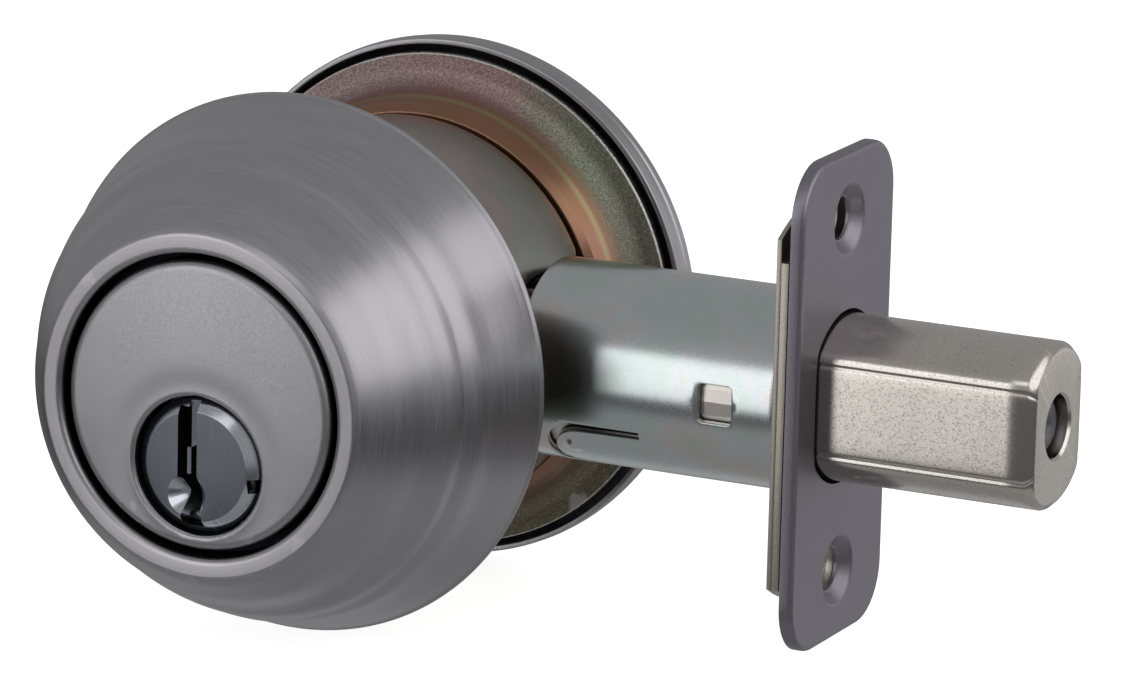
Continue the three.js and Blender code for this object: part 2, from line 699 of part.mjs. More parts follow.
/** Crank: hub on the tailpiece, two arms and the pin between them that drives the bolt tail. */
function crank() {
  const armWidth = 2.35;
  const [armInside, armOutside, trunnion] = [1.6, 3.9, 5.7];
  const hub = join(
    barY(4.2, -armOutside, armOutside, 0, PLUG_Z, 28),
    barY(3.4, -trunnion, trunnion, 0, PLUG_Z, 28),
  );
  const arm = new THREE.Shape();
  arm.absarc(0, 0, 3.9, Math.PI, 2 * Math.PI, false);
  arm.absarc(0, CRANK_RADIUS, armWidth, 0, Math.PI, false);
  const pin = barY(CRANK_PIN_RADIUS, -armOutside, armOutside, 0, CRANK_RADIUS, 16);
  const turn = THREE.MathUtils.radToDeg(CRANK_SWING);
  const arms = join(prismY(arm, armInside, armOutside, 10), prismY(arm, -armOutside, -armInside, 10), pin);
  const swung = arms.rotate([0, turn, 0]).translate([0, 0, PLUG_Z]);
  const hole = { x: BLADE.thickness / 2 + 0.25, z: BLADE.width / 2 + 0.25 };
  return cut(join(hub, swung), box(-hole.x, hole.x, -8, 8, PLUG_Z - hole.z, PLUG_Z + hole.z));
}

const tail = { half: 1.3, bottom: 1.0, top: 9.0, prongTop: 11.4 };
const tailRivet = { x: 44.5, z: 5.2 };

function bolt() {
  const bevel = 0.9;
  const full = prismX(boltSection(), BOLT_SHOULDER_X, BOLT_END_X - bevel, 8);
  const tipCone = barX(BOLT_RADIUS + 1.2, BOLT_RADIUS - bevel, BOLT_END_X - 2.1, BOLT_END_X, 0, 48);
  const tipBlock = prismX(boltSection(-0.35), BOLT_END_X - 2 * bevel, BOLT_END_X, 8);
  const neck = box(NECK_REAR_X, BOLT_SHOULDER_X + 1, -NECK_HALF_WIDTH, NECK_HALF_WIDTH, -5, 9);
  const neckRound = barX(BOLT_RADIUS, BOLT_RADIUS, NECK_REAR_X, BOLT_SHOULDER_X + 1, 0, 40);
  const rollerBore = barX(3.65, 3.65, 56, BOLT_END_X + 1, 0, 24);
  const [half, slack] = [tail.half + GAP, GAP];
  const slot = box(NECK_REAR_X - 1, 49, -half, half, tail.bottom - slack, tail.top + slack);
  const rivetHole = barY(1.8, -8, 8, tailRivet.x, tailRivet.z);
  const blank = join(full, tipBlock.intersect(tipCone), neck.intersect(neckRound));
  return cut(blank, rollerBore, slot, rivetHole);
}

function boltTail() {
  const pinX = THROW / 2;
  const pinZ = PLUG_Z + CRANK_RADIUS * Math.cos(CRANK_SWING);
  const halfSlot = CRANK_PIN_RADIUS + 0.95;
  const slotBottom = pinZ - CRANK_PIN_RADIUS - 0.6;
  const prong = 2.6;
  const outline = [
    [pinX - halfSlot - prong, tail.bottom],
    [48.6, tail.bottom],
    [48.6, tail.top],
    [pinX + halfSlot + 5, tail.top],
    [pinX + halfSlot + 3, tail.prongTop],
    [pinX + halfSlot, tail.prongTop],
    [pinX + halfSlot, slotBottom],
    [pinX - halfSlot, slotBottom],
    [pinX - halfSlot, tail.prongTop],
    [pinX - halfSlot - prong, tail.prongTop],
  ];
  const shape = new THREE.Shape(outline.map(([x, z]) => new THREE.Vector2(x, z)));
  return cut(prismY(shape, -tail.half, tail.half), barY(1.8, -8, 8, tailRivet.x, tailRivet.z));
}

function tailRivetPin() {
  return barY(1.5, -NECK_HALF_WIDTH + 0.1, NECK_HALF_WIDTH - 0.1, tailRivet.x, tailRivet.z);
}

function hardenedRoller() {
  const [front, back, radius] = [BOLT_END_X - ROLLER_INSET, 56.4, 3.1];
  const chamfer = 0.6;
  return join(
    barX(radius - chamfer, radius, back, back + chamfer, 0, 24),
    barX(radius, radius, back + chamfer, front - chamfer, 0, 24),
    barX(radius, radius - chamfer, front - chamfer, front, 0, 24),
  );
}

// ---------------------------------------------------------------- assembly
add("cylinder_guard", "satinNickel", cylinderGuard());
add("guard_sleeve", "sleeveSteel", guardSleeve());
add("cylinder_housing", "cylinderNickel", cylinderHousing());
add("plug", "plugNickel", plug());
pinPlaces.forEach((y, i) => {
  add(`key_pin_${i + 1}`, "brass", keyPin(y, i));
  add(`driver_pin_${i + 1}`, "brass", driverPin(y));
  add(`pin_spring_${i + 1}`, "springSteel", pinSpring(y));
});
add("chamber_cover", "brass", chamberCover());
add("plug_clip", "springSteel", plugClip());
add("plug_cap", "brass", plugCap());
add("tailpiece", "darkSteel", tailpiece());

add("mounting_plate", "zincYellow", mountingPlate());
add("rose", "satinNickel", rose());
for (const [name, side] of sides) {
  add(`mounting_screw_${name}`, "zincBlue", mountingScrew(side));
  add(`rose_screw_${name}`, "satinNickel", roseScrew(side));
}
add("thumbturn", "satinNickel", thumbturn());
add("thumbturn_clip", "springSteel", thumbturnClip());
add("thumbturn_washer", "nylon", thumbturnWasher());

add("faceplate", "plateNickel", faceplate());
add("backplate", "boltSteel", backplate());
add("bolt_tube", "zincBlue", boltTube());
add("inner_case_outside", "zincYellow", innerCase(-1));
add("inner_case_inside", "zincYellow", innerCase(1));
rivetPlaces.forEach(([x, z], i) => add(`case_rivet_${i + 1}`, "zincBlue", caseRivet(x, z)));
add("crank", "darkSteel", crank());
add("bolt", "boltSteel", bolt());
add("bolt_tail", "darkSteel", boltTail());
add("tail_rivet", "zincBlue", tailRivetPin());
add("hardened_roller", "springSteel", hardenedRoller());

export default lock;
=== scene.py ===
"""Deadbolt door lock: detailed pieces, finishes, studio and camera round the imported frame."""
import json
import math

import bmesh
import bpy
from mathutils import Matrix, Vector
from mathutils.geometry import delaunay_2d_cdt


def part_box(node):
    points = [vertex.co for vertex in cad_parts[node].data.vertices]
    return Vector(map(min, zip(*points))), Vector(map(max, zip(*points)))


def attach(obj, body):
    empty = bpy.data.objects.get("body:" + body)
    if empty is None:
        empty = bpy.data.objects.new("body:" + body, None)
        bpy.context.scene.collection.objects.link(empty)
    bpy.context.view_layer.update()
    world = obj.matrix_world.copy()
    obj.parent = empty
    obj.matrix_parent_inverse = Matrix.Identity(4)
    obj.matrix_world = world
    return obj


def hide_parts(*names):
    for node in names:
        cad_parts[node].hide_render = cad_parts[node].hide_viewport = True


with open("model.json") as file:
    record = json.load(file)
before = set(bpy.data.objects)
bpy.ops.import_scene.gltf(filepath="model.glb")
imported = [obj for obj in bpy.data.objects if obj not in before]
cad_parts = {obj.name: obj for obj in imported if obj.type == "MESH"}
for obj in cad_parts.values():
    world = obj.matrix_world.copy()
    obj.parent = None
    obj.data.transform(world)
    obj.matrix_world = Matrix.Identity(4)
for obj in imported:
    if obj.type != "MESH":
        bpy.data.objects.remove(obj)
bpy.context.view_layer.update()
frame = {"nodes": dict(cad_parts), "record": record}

MM = 0.001
TAU = 2 * math.pi


def box_mm(node):
    """Lowest and highest corner of a CAD node, in millimetres."""
    low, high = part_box(node)
    return low / MM, high / MM


# ---------------------------------------------------------------- sizes taken from the frame
GUARD_LOW, GUARD_HIGH = box_mm("cylinder_guard")
HOUSING_LOW, HOUSING_HIGH = box_mm("cylinder_housing")
PLUG_LOW, PLUG_HIGH = box_mm("plug")
TAILPIECE_LOW, TAILPIECE_HIGH = box_mm("tailpiece")
SLEEVE_LOW, SLEEVE_HIGH = box_mm("guard_sleeve")
PLATE_LOW, PLATE_HIGH = box_mm("mounting_plate")
ROSE_LOW, ROSE_HIGH = box_mm("rose")
TUBE_LOW, TUBE_HIGH = box_mm("bolt_tube")
BOLT_LOW, BOLT_HIGH = box_mm("bolt")
ROLLER_LOW, ROLLER_HIGH = box_mm("hardened_roller")
FACE_LOW, FACE_HIGH = box_mm("faceplate")
BACK_HIGH = box_mm("backplate")[1]
TURN_LOW, TURN_HIGH = box_mm("thumbturn")

PLUG_Z = (TAILPIECE_LOW.z + TAILPIECE_HIGH.z) / 2
FACE_RADIUS = HOUSING_HIGH.x
PLUG_RADIUS = PLUG_HIGH.x
PLUG_HOLE = PLUG_RADIUS + 0.3
SLEEVE_RADIUS = max(SLEEVE_HIGH.x, -SLEEVE_LOW.x)
TUBE_RADIUS = TUBE_HIGH.z
BOLT_RADIUS = BOLT_HIGH.z
BOLT_HALF_WIDTH = BOLT_HIGH.y
BACKPLATE_BACK = BACK_HIGH.x - 1.5
MOUNTING_SCREW_X, MOUNTING_SCREW_Z = 11.2, -3.5
ROSE_SCREW_X = 19.5
PLATE_SCREW_Z = 20.64
PLATE_CORNER = 6.35


# ---------------------------------------------------------------- mesh helpers, all in millimetres
def new_object(name, verts, faces, smooth_angle=32):
    """Mesh object from millimetre vertices, with normals facing out and sharp edges kept."""
    mesh = bpy.data.meshes.new(name)
    mesh.from_pydata([Vector(v) * MM for v in verts], [], faces)
    build = bmesh.new()
    build.from_mesh(mesh)
    bmesh.ops.remove_doubles(build, verts=build.verts, dist=0.002 * MM)
    bmesh.ops.dissolve_degenerate(build, edges=build.edges, dist=0.0005 * MM)
    bmesh.ops.recalc_face_normals(build, faces=build.faces)
    build.to_mesh(mesh)
    build.free()
    piece = bpy.data.objects.new(name, mesh)
    bpy.context.scene.collection.objects.link(piece)
    shade(piece, smooth_angle)
    return piece


def shade(piece, angle=32):
    """Smooth shading with edges sharper than the angle kept crisp."""
    piece.data.shade_smooth()
    piece.data.set_sharp_from_angle(angle=math.radians(angle))


def rounded(points, closed=True, steps=6):
    """Replaces the corners of a polyline by arcs; a point is (a, b) or (a, b, radius)."""
    out = []
    count = len(points)
    for i, point in enumerate(points):
        radius = point[2] if len(point) > 2 else 0.0
        here = Vector(point[:2])
        if radius <= 0 or (not closed and i in (0, count - 1)):
            out.append(tuple(here))
            continue
        before = Vector(points[i - 1][:2]) - here
        after = Vector(points[(i + 1) % count][:2]) - here
        angle = before.angle(after)
        reach = radius / math.tan(angle / 2)
        reach = min(reach, 0.49 * before.length, 0.49 * after.length)
        start = here + before.normalized() * reach
        end = here + after.normalized() * reach
        for k in range(steps + 1):
            t = k / steps
            out.append(tuple(start * (1 - t) ** 2 + here * 2 * t * (1 - t) + end * t * t))
    return out


def lathe(name, profile, segments=200, z=0.0, x=0.0, smooth_angle=32):
    """Closed profile of (radius, y) turned about the line x, z along Y."""
    verts, rings, faces = [], [], []
    for radius, y in profile:
        if radius < 1e-6:
            rings.append([len(verts)])
            verts.append((x, y, z))
            continue
        rings.append(list(range(len(verts), len(verts) + segments)))
        for k in range(segments):
            angle = TAU * k / segments
            verts.append((x + radius * math.sin(angle), y, z + radius * math.cos(angle)))
    for a, b in zip(rings, rings[1:] + rings[:1]):
        faces += bridge(a, b)
    return new_object(name, verts, faces, smooth_angle)


def bridge(a, b):
    """Faces between two rings of vertex numbers; a ring may be a single point."""
    if len(a) == 1 and len(b) == 1:
        return []
    if len(a) == 1:
        return [(a[0], b[k], b[(k + 1) % len(b)]) for k in range(len(b))]
    if len(b) == 1:
        return [(a[k], a[(k + 1) % len(a)], b[0]) for k in range(len(a))]
    count = len(a)
    return [(a[k], a[(k + 1) % count], b[(k + 1) % count], b[k]) for k in range(count)]


def loft(name, rings, smooth_angle=32):
    """Closed skin through rings of points; the first and last rings are single points or meet."""
    verts, numbers, faces = [], [], []
    for ring in rings:
        numbers.append(list(range(len(verts), len(verts) + len(ring))))
        verts += ring
    for a, b in zip(numbers, numbers[1:]):
        faces += bridge(a, b)
    return new_object(name, verts, faces, smooth_angle)


def circle(radius, u=0.0, v=0.0, count=64):
    """Points round a flat circle centred on u, v."""
    angles = [TAU * k / count for k in range(count)]
    return [(u + radius * math.cos(a), v + radius * math.sin(a)) for a in angles]


def inside(point, outline):
    """Whether a point lies inside a closed outline."""
    x, y = point
    found = False
    j = len(outline) - 1
    for i, (xi, yi) in enumerate(outline):
        xj, yj = outline[j]
        if (yi > y) != (yj > y) and x < (xj - xi) * (y - yi) / (yj - yi) + xi:
            found = not found
        j = i
    return found


def split_long(outline, step):
    """Adds points to an outline so that no side is longer than step."""
    out = []
    for a, b in zip(outline, outline[1:] + outline[:1]):
        a, b = Vector(a), Vector(b)
        parts = max(1, math.ceil((b - a).length / step - 1e-6))
        out += [tuple(a.lerp(b, k / parts)) for k in range(parts)]
    return out


def triangulate(outer, holes, extra):
    """Triangles of the region between an outline and its holes, through the extra points."""
    coords, edges = [], []
    for outline in [outer, *holes]:
        first = len(coords)
        coords += [Vector(p) for p in outline]
        count = len(outline)
        edges += [(first + k, first + (k + 1) % count) for k in range(count)]
    coords += [Vector(p) for p in extra]
    verts, _, faces, *_ = delaunay_2d_cdt(coords, edges, [], 0, 1e-5)
    kept = []
    for face in faces:
        centre = sum((verts[i] for i in face), Vector((0, 0))) / len(face)
        if inside(centre, outer) and not any(inside(centre, hole) for hole in holes):
            kept.append(tuple(face))
    return [tuple(v) for v in verts], kept


def sheet(name, outer, holes, extra, front, back, smooth_angle=32, seam=None):
    """Closed sheet: front and back map each flat point to its place on the two skins.

    With a seam the sheet closes on itself: its sides at u = 0 and u = seam meet and get no wall.
    """
    flat, triangles = triangulate(outer, holes, extra)
    used = sorted({i for face in triangles for i in face})
    number = {old: new for new, old in enumerate(used)}
    count = len(used)
    verts = [front(*flat[i]) for i in used] + [back(*flat[i]) for i in used]
    faces = []
    sides = set()
    for face in triangles:
        a = [number[i] for i in face]
        faces.append(tuple(a))
        faces.append(tuple(i + count for i in reversed(a)))
        sides.update(zip(a, a[1:] + a[:1]))

    def meets(p, q):
        ends = [flat[used[i]][0] for i in (p, q)]
        return seam is not None and any(all(abs(u - at) < 1e-4 for u in ends) for at in (0.0, seam))

    for p, q in sorted(sides):
        if (q, p) not in sides and not meets(p, q):
            faces.append((q, p, p + count, q + count))
    return new_object(name, verts, faces, smooth_angle)


def cut(piece, *tools):
    """Boolean difference, applied."""
    for tool in tools:
        modifier = piece.modifiers.new("cut", "BOOLEAN")
        modifier.operation = "DIFFERENCE"
        modifier.solver = "EXACT"
        modifier.object = tool
        apply_modifiers(piece)
        bpy.data.objects.remove(tool)
    return piece


def apply_modifiers(piece):
    """Bakes the modifiers of a piece into its mesh."""
    depsgraph = bpy.context.evaluated_depsgraph_get()
    mesh = bpy.data.meshes.new_from_object(piece.evaluated_get(depsgraph))
    piece.modifiers.clear()
    old = piece.data
    piece.data = mesh
    mesh.name = old.name
    bpy.data.meshes.remove(old)


def soften(piece, width, segments=2, angle=40, smooth_angle=50):
    """Rounds the sharp edges of a piece by a small bevel."""
    bevel = piece.modifiers.new("edges", "BEVEL")
    bevel.width = width * MM
    bevel.segments = segments
    bevel.limit_method = "ANGLE"
    bevel.angle_limit = math.radians(angle)
    bevel.harden_normals = False
    apply_modifiers(piece)
    shade(piece, smooth_angle)
    return piece


def prism(name, outline, place, depth):
    """Solid from a flat outline; place maps (u, v, w) to a point, w from 0 to depth."""
    count = len(outline)
    verts = [place(u, v, 0) for u, v in outline] + [place(u, v, depth) for u, v in outline]
    faces = [tuple(range(count)), tuple(range(2 * count - 1, count - 1, -1))]
    faces += [(k, (k + 1) % count, (k + 1) % count + count, k + count) for k in range(count)]
    return new_object(name, verts, faces, 20)


# ---------------------------------------------------------------- finishes
class Nodes:
    """Short way to build a material's node tree."""

    def __init__(self, name):
        self.material = bpy.data.materials.new(name)
        self.material.use_nodes = True
        self.tree = self.material.node_tree
        self.tree.nodes.clear()
        self.output = self.tree.nodes.new("ShaderNodeOutputMaterial")
        self.shader = self.tree.nodes.new("ShaderNodeBsdfPrincipled")
        self.link(self.shader.outputs[0], self.output.inputs[0])

    def link(self, source, target):
        self.tree.links.new(source, target)

    def node(self, kind, inputs=None, **settings):
        made = self.tree.nodes.new(kind)
        for key, value in settings.items():
            setattr(made, key, value)
        for key, value in (inputs or {}).items():
            if isinstance(value, bpy.types.NodeSocket):
                self.link(value, made.inputs[key])
            else:
                made.inputs[key].default_value = value
        return made

    def math(self, operation, a, b=0.0):
        return self.node("ShaderNodeMath", {0: a, 1: b}, operation=operation).outputs[0]

    def noise(self, vector, scale, detail=2.0, roughness=0.5):
        made = self.node("ShaderNodeTexNoise", {"Vector": vector, "Scale": scale})
        made.inputs["Detail"].default_value = detail
        made.inputs["Roughness"].default_value = roughness
        return made.outputs[0]

    def span(self, value, low, high, to_low=0.0, to_high=1.0):
        made = self.node("ShaderNodeMapRange", {0: value})
        for key, number in zip((1, 2, 3, 4), (low, high, to_low, to_high)):
            made.inputs[key].default_value = number
        return made.outputs[0]

    def mix(self, factor, a, b, blend="MIX"):
        made = self.node("ShaderNodeMix", data_type="RGBA", blend_type=blend)
        for index, value in ((0, factor), (6, a), (7, b)):
            if isinstance(value, bpy.types.NodeSocket):
                self.link(value, made.inputs[index])
            elif index == 0:
                made.inputs[index].default_value = value
            else:
                made.inputs[index].default_value = (*value, 1.0)
        return made.outputs[2]

    def ramp(self, value, stops):
        made = self.node("ShaderNodeValToRGB", {0: value})
        elements = made.color_ramp.elements
        while len(elements) < len(stops):
            elements.new(0.5)
        for element, (place, color) in zip(elements, stops):
            element.position = place
            element.color = (*color, 1.0)
        return made.outputs[0]

    def position(self):
        return self.node("ShaderNodeTexCoord").outputs["Object"]

    def around(self, z_mm, along):
        """Coordinates whose streaks run round the Y axis through z: radius, y and a slow angle."""
        split = self.node("ShaderNodeSeparateXYZ", {0: self.position()})
        z = self.math("SUBTRACT", split.outputs[2], z_mm * MM)
        angle = self.math("ARCTAN2", split.outputs[0], z)
        squares = self.math("ADD", self.math("POWER", split.outputs[0], 2.0), self.math("POWER", z, 2.0))
        radius = self.math("SQRT", squares)
        slow = self.math("MULTIPLY", angle, along)
        made = self.node("ShaderNodeCombineXYZ", {0: radius, 1: split.outputs[1], 2: slow})
        return made.outputs[0], radius, angle

    def stretched(self, scale):
        return self.node("ShaderNodeMapping", {0: self.position(), 3: scale}).outputs[0]

    def bump(self, height, distance_mm, strength=1.0):
        made = self.node("ShaderNodeBump", {"Height": height, "Distance": distance_mm * MM})
        made.inputs["Strength"].default_value = strength
        self.link(made.outputs[0], self.shader.inputs["Normal"])

    def set(self, **values):
        for key, value in values.items():
            socket = self.shader.inputs[key.replace("_", " ")]
            if isinstance(value, bpy.types.NodeSocket):
                self.link(value, socket)
            elif isinstance(value, tuple) and len(value) == 3:
                socket.default_value = (*value, 1.0)
            else:
                socket.default_value = value


def tint(color, factor):
    """A colour scaled by a factor."""
    return tuple(channel * factor for channel in color)


def brighten_convex_edges(nodes, color, bright):
    """Mixes a brighter tone onto convex edges."""
    pointiness = nodes.node("ShaderNodeNewGeometry").outputs["Pointiness"]
    edge_brightened = nodes.span(pointiness, 0.51, 0.58, 0.0, 0.6)
    return nodes.mix(edge_brightened, color, bright)


def brushed_round(name, color, roughness, z_mm=0.0, anisotropy=0.65, line=0.2, depth=0.006):
    """Metal brushed round an axis along Y; line is the spacing of the brushing in millimetres."""
    nodes = Nodes(name)
    vector, _, _ = nodes.around(z_mm, 0.0006)
    fine = nodes.noise(vector, 1 / (line * MM), 3.0, 0.65)
    broad = nodes.noise(nodes.position(), 70.0, 2.0)
    shade_fine = nodes.mix(nodes.span(fine, 0.3, 0.7), tint(color, 0.86), tint(color, 1.12))
    colored = nodes.mix(nodes.span(broad, 0.35, 0.65, 0.0, 0.35), shade_fine, tint(color, 0.9))
    nodes.set(Base_Color=brighten_convex_edges(nodes, colored, tint(color, 1.25)), Metallic=1.0)
    nodes.set(Roughness=nodes.span(fine, 0.2, 0.8, roughness - 0.07, roughness + 0.09))
    nodes.set(Anisotropic=anisotropy, Anisotropic_Rotation=0.25)
    tangent = nodes.node("ShaderNodeTangent", direction_type="RADIAL", axis="Y")
    nodes.link(tangent.outputs[0], nodes.shader.inputs["Tangent"])
    nodes.bump(fine, depth)
    return nodes.material


def brushed_line(name, color, roughness, scale, line=0.16, depth=0.006):
    """Metal brushed in straight lines; scale squeezes the coordinate along the brushing."""
    nodes = Nodes(name)
    fine = nodes.noise(nodes.stretched(scale), 1 / (line * MM), 3.0, 0.6)
    broad = nodes.noise(nodes.position(), 160.0, 3.0)
    colored = nodes.mix(nodes.span(fine, 0.3, 0.7), tint(color, 0.85), tint(color, 1.14))
    colored = nodes.mix(nodes.span(broad, 0.4, 0.7, 0.0, 0.3), colored, tint(color, 0.88))
    nodes.set(Base_Color=brighten_convex_edges(nodes, colored, tint(color, 1.3)), Metallic=1.0)
    nodes.set(Roughness=nodes.span(fine, 0.25, 0.75, roughness - 0.06, roughness + 0.1))
    nodes.bump(fine, depth)
    return nodes.material


def grained(name, color, roughness, grain=0.22, depth=0.012, contrast=0.3, with_bright_edges=True):
    """Satin metal with a fine isotropic grain."""
    nodes = Nodes(name)
    fine = nodes.noise(nodes.position(), 1 / (grain * MM), 4.0, 0.7)
    broad = nodes.noise(nodes.position(), 130.0, 3.0)
    dark, light = tint(color, 1 - contrast), tint(color, 1 + contrast / 2)
    colored = nodes.mix(nodes.span(fine, 0.35, 0.65), dark, light)
    colored = nodes.mix(nodes.span(broad, 0.4, 0.7, 0.0, 0.35), colored, tint(color, 0.85))
    edge_brightened = brighten_convex_edges(nodes, colored, tint(color, 1.35)) if with_bright_edges else colored
    nodes.set(Base_Color=edge_brightened, Metallic=1.0)
    nodes.set(Roughness=nodes.span(fine, 0.3, 0.7, roughness - 0.06, roughness + 0.1))
    nodes.bump(fine, depth)
    return nodes.material


def zinc(name, stops, roughness, cloud=90.0, grain=0.12, depth=0.004):
    """Passivated zinc plate: clouded iridescent tints over a bright metal with a fine spangle."""
    nodes = Nodes(name)
    clouds = nodes.noise(nodes.position(), cloud, 3.0, 0.6)
    fine = nodes.noise(nodes.position(), 1 / (grain * MM), 3.0, 0.6)
    colored = nodes.ramp(nodes.span(clouds, 0.32, 0.68), stops)
    colored = nodes.mix(nodes.span(fine, 0.3, 0.7, 0.0, 0.22), colored, (0.85, 0.85, 0.83), "MULTIPLY")
    nodes.set(Base_Color=brighten_convex_edges(nodes, colored, (0.8, 0.8, 0.78)), Metallic=1.0)
    nodes.set(Roughness=nodes.span(fine, 0.25, 0.75, roughness - 0.05, roughness + 0.08))
    nodes.bump(fine, depth)
    return nodes.material


def dichromate_plate(name):
    """The mounting plate: sparkling rough flange, smooth orange band towards the boss edge."""
    nodes = Nodes(name)
    _, radius, angle = nodes.around(0.0, 1.0)
    sparkle = nodes.noise(nodes.position(), 4200.0, 4.0, 0.75)
    clouds = nodes.noise(nodes.position(), 110.0, 3.0, 0.6)
    drift = nodes.math("ADD", angle, nodes.math("MULTIPLY", clouds, 1.1))
    stops = [
        (0.0, (0.66, 0.50, 0.49)), (0.3, (0.66, 0.45, 0.44)), (0.44, (0.42, 0.46, 0.34)),
        (0.7, (0.46, 0.41, 0.34)), (1.0, (0.38, 0.34, 0.22)),
    ]
    tinted = nodes.ramp(nodes.span(drift, -0.1, 2.9), stops)
    grit = nodes.span(sparkle, 0.36, 0.64)
    pitted = nodes.mix(0.7, tinted, (0.08, 0.075, 0.07))
    rough_zone = nodes.mix(grit, pitted, tinted)
    rough_zone = nodes.mix(nodes.span(sparkle, 0.6, 0.72, 0.0, 0.6), rough_zone, (0.82, 0.8, 0.74))
    smooth_zone = nodes.mix(nodes.span(clouds, 0.35, 0.65), (0.31, 0.17, 0.1), (0.34, 0.18, 0.14))
    off_line = nodes.math("ABSOLUTE", nodes.math("SUBTRACT", radius, 25.45 * MM))
    smooth_zone = nodes.mix(nodes.span(off_line, 0.0, 0.2 * MM, 0.6, 0.0), smooth_zone, (0.36, 0.37, 0.2))
    rough_share = nodes.span(radius, 25.6 * MM, 26.3 * MM)
    colored = nodes.mix(rough_share, smooth_zone, rough_zone)
    nodes.set(Base_Color=brighten_convex_edges(nodes, colored, (0.85, 0.84, 0.8)), Metallic=1.0)
    nodes.set(Roughness=nodes.span(radius, 25.5 * MM, 26.3 * MM, 0.3, 0.5))
    nodes.bump(nodes.math("MULTIPLY", sparkle, nodes.span(radius, 25.5 * MM, 26.3 * MM, 0.06, 1.0)), 0.09)
    return nodes.material


def plastic(name, color):
    """Matt moulded plastic."""
    nodes = Nodes(name)
    fine = nodes.noise(nodes.position(), 900.0, 3.0)
    nodes.set(Base_Color=nodes.mix(nodes.span(fine, 0.3, 0.7), tint(color, 0.92), color))
    nodes.set(Roughness=nodes.span(fine, 0.3, 0.7, 0.5, 0.65))
    nodes.bump(fine, 0.01)
    return nodes.material


def speckled(name, color, roughness, grain=0.2, specks=0.5, depth=0.003):
    """Smooth plated metal with scattered fine dark specks."""
    nodes = Nodes(name)
    fine = nodes.noise(nodes.position(), 1 / (grain * MM), 2.0, 0.5)
    broad = nodes.noise(nodes.position(), 120.0, 3.0)
    colored = nodes.mix(nodes.span(broad, 0.4, 0.7), color, tint(color, 0.94))
    colored = nodes.mix(nodes.span(fine, 0.6, 0.68, 0.0, specks), colored, tint(color, 0.45))
    nodes.set(Base_Color=brighten_convex_edges(nodes, colored, tint(color, 1.3)), Metallic=1.0)
    nodes.set(Roughness=nodes.span(fine, 0.3, 0.7, roughness - 0.03, roughness + 0.05))
    nodes.bump(fine, depth)
    return nodes.material


NICKEL = (0.47, 0.46, 0.485)
CYLINDER_NICKEL = (0.44, 0.435, 0.45)
BLUE_ZINC = [
    (0.0, (0.6, 0.66, 0.68)), (0.35, (0.58, 0.66, 0.63)), (0.6, (0.63, 0.66, 0.68)),
    (0.8, (0.66, 0.63, 0.6)), (1.0, (0.57, 0.63, 0.58)),
]
YELLOW_ZINC = [
    (0.0, (0.5, 0.36, 0.25)), (0.4, (0.5, 0.32, 0.28)), (0.7, (0.4, 0.42, 0.3)), (1.0, (0.5, 0.34, 0.32)),
]
SLEEVE_ZINC = [
    (0.0, (0.46, 0.4, 0.38)), (0.35, (0.36, 0.39, 0.35)), (0.6, (0.43, 0.37, 0.36)), (1.0, (0.47, 0.42, 0.4)),
]
FINISHES = {
    "satin_nickel": brushed_round("satin_nickel", NICKEL, 0.34, anisotropy=0.5, line=0.14),
    "cylinder_nickel": grained(
        "cylinder_nickel", CYLINDER_NICKEL, 0.36, grain=0.25, depth=0.003, contrast=0.1,
    ),
    "plug_nickel": brushed_line("plug_nickel", (0.14, 0.152, 0.175), 0.34, (1.0, 1.0, 0.02), line=0.14),
    "plug_polished": grained("plug_polished", (0.6, 0.63, 0.68), 0.16, grain=0.3, depth=0.002, contrast=0.1),
    "faceplate_nickel": grained(
        "faceplate_nickel", (0.315, 0.3, 0.34), 0.4, grain=0.3, depth=0.004, contrast=0.1, with_bright_edges=False,
    ),
    "bolt_nickel": speckled("bolt_nickel", (0.68, 0.635, 0.585), 0.2, specks=0.7),
    "backplate_nickel": grained("backplate_nickel", (0.52, 0.48, 0.42), 0.36, with_bright_edges=False),
    "blue_zinc": zinc("blue_zinc", BLUE_ZINC, 0.22),
    "yellow_zinc": zinc("yellow_zinc", YELLOW_ZINC, 0.3),
    "sleeve_zinc": zinc("sleeve_zinc", SLEEVE_ZINC, 0.3, cloud=60.0),
    "mounting_dichromate": dichromate_plate("mounting_dichromate"),
    "raw_edge": grained("raw_edge", (0.7, 0.68, 0.64), 0.3, grain=0.35, depth=0.06, contrast=0.5),
    "brass": grained("brass", (0.62, 0.45, 0.2), 0.3),
    "spring_steel": grained("spring_steel", (0.55, 0.55, 0.56), 0.26, contrast=0.15),
    "dark_steel": grained("dark_steel", (0.22, 0.22, 0.24), 0.42),
    "raw_casting": grained("raw_casting", (0.72, 0.73, 0.7), 0.6, contrast=0.15, with_bright_edges=False),
    # Near-black painted shade for gap walls: the gaps round the plug and inside the guard's lip are painted
    # dark rather than shaded.
    "gap_painted_shade": grained("gap_painted_shade", (0.035, 0.035, 0.04), 0.55, with_bright_edges=False),
    "nylon": plastic("nylon", (0.8, 0.78, 0.72)),
}


def dress(piece, body, finish, slot, *nodes):
    """Gives a piece its finish and its body and hides the CAD nodes that it stands for. The slot argument is
    not used.
    """
    if not piece.data.materials:
        piece.data.materials.append(FINISHES[finish])
    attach(piece, body)
    if nodes:
        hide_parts(*nodes)
    return piece


def two_finishes(piece, finishes, choose):
    """Assigns finishes face by face; choose(centre, normal) in millimetres gives the index."""
    for name in finishes:
        piece.data.materials.append(FINISHES[name])
    for polygon in piece.data.polygons:
        polygon.material_index = choose(polygon.center / MM, polygon.normal)


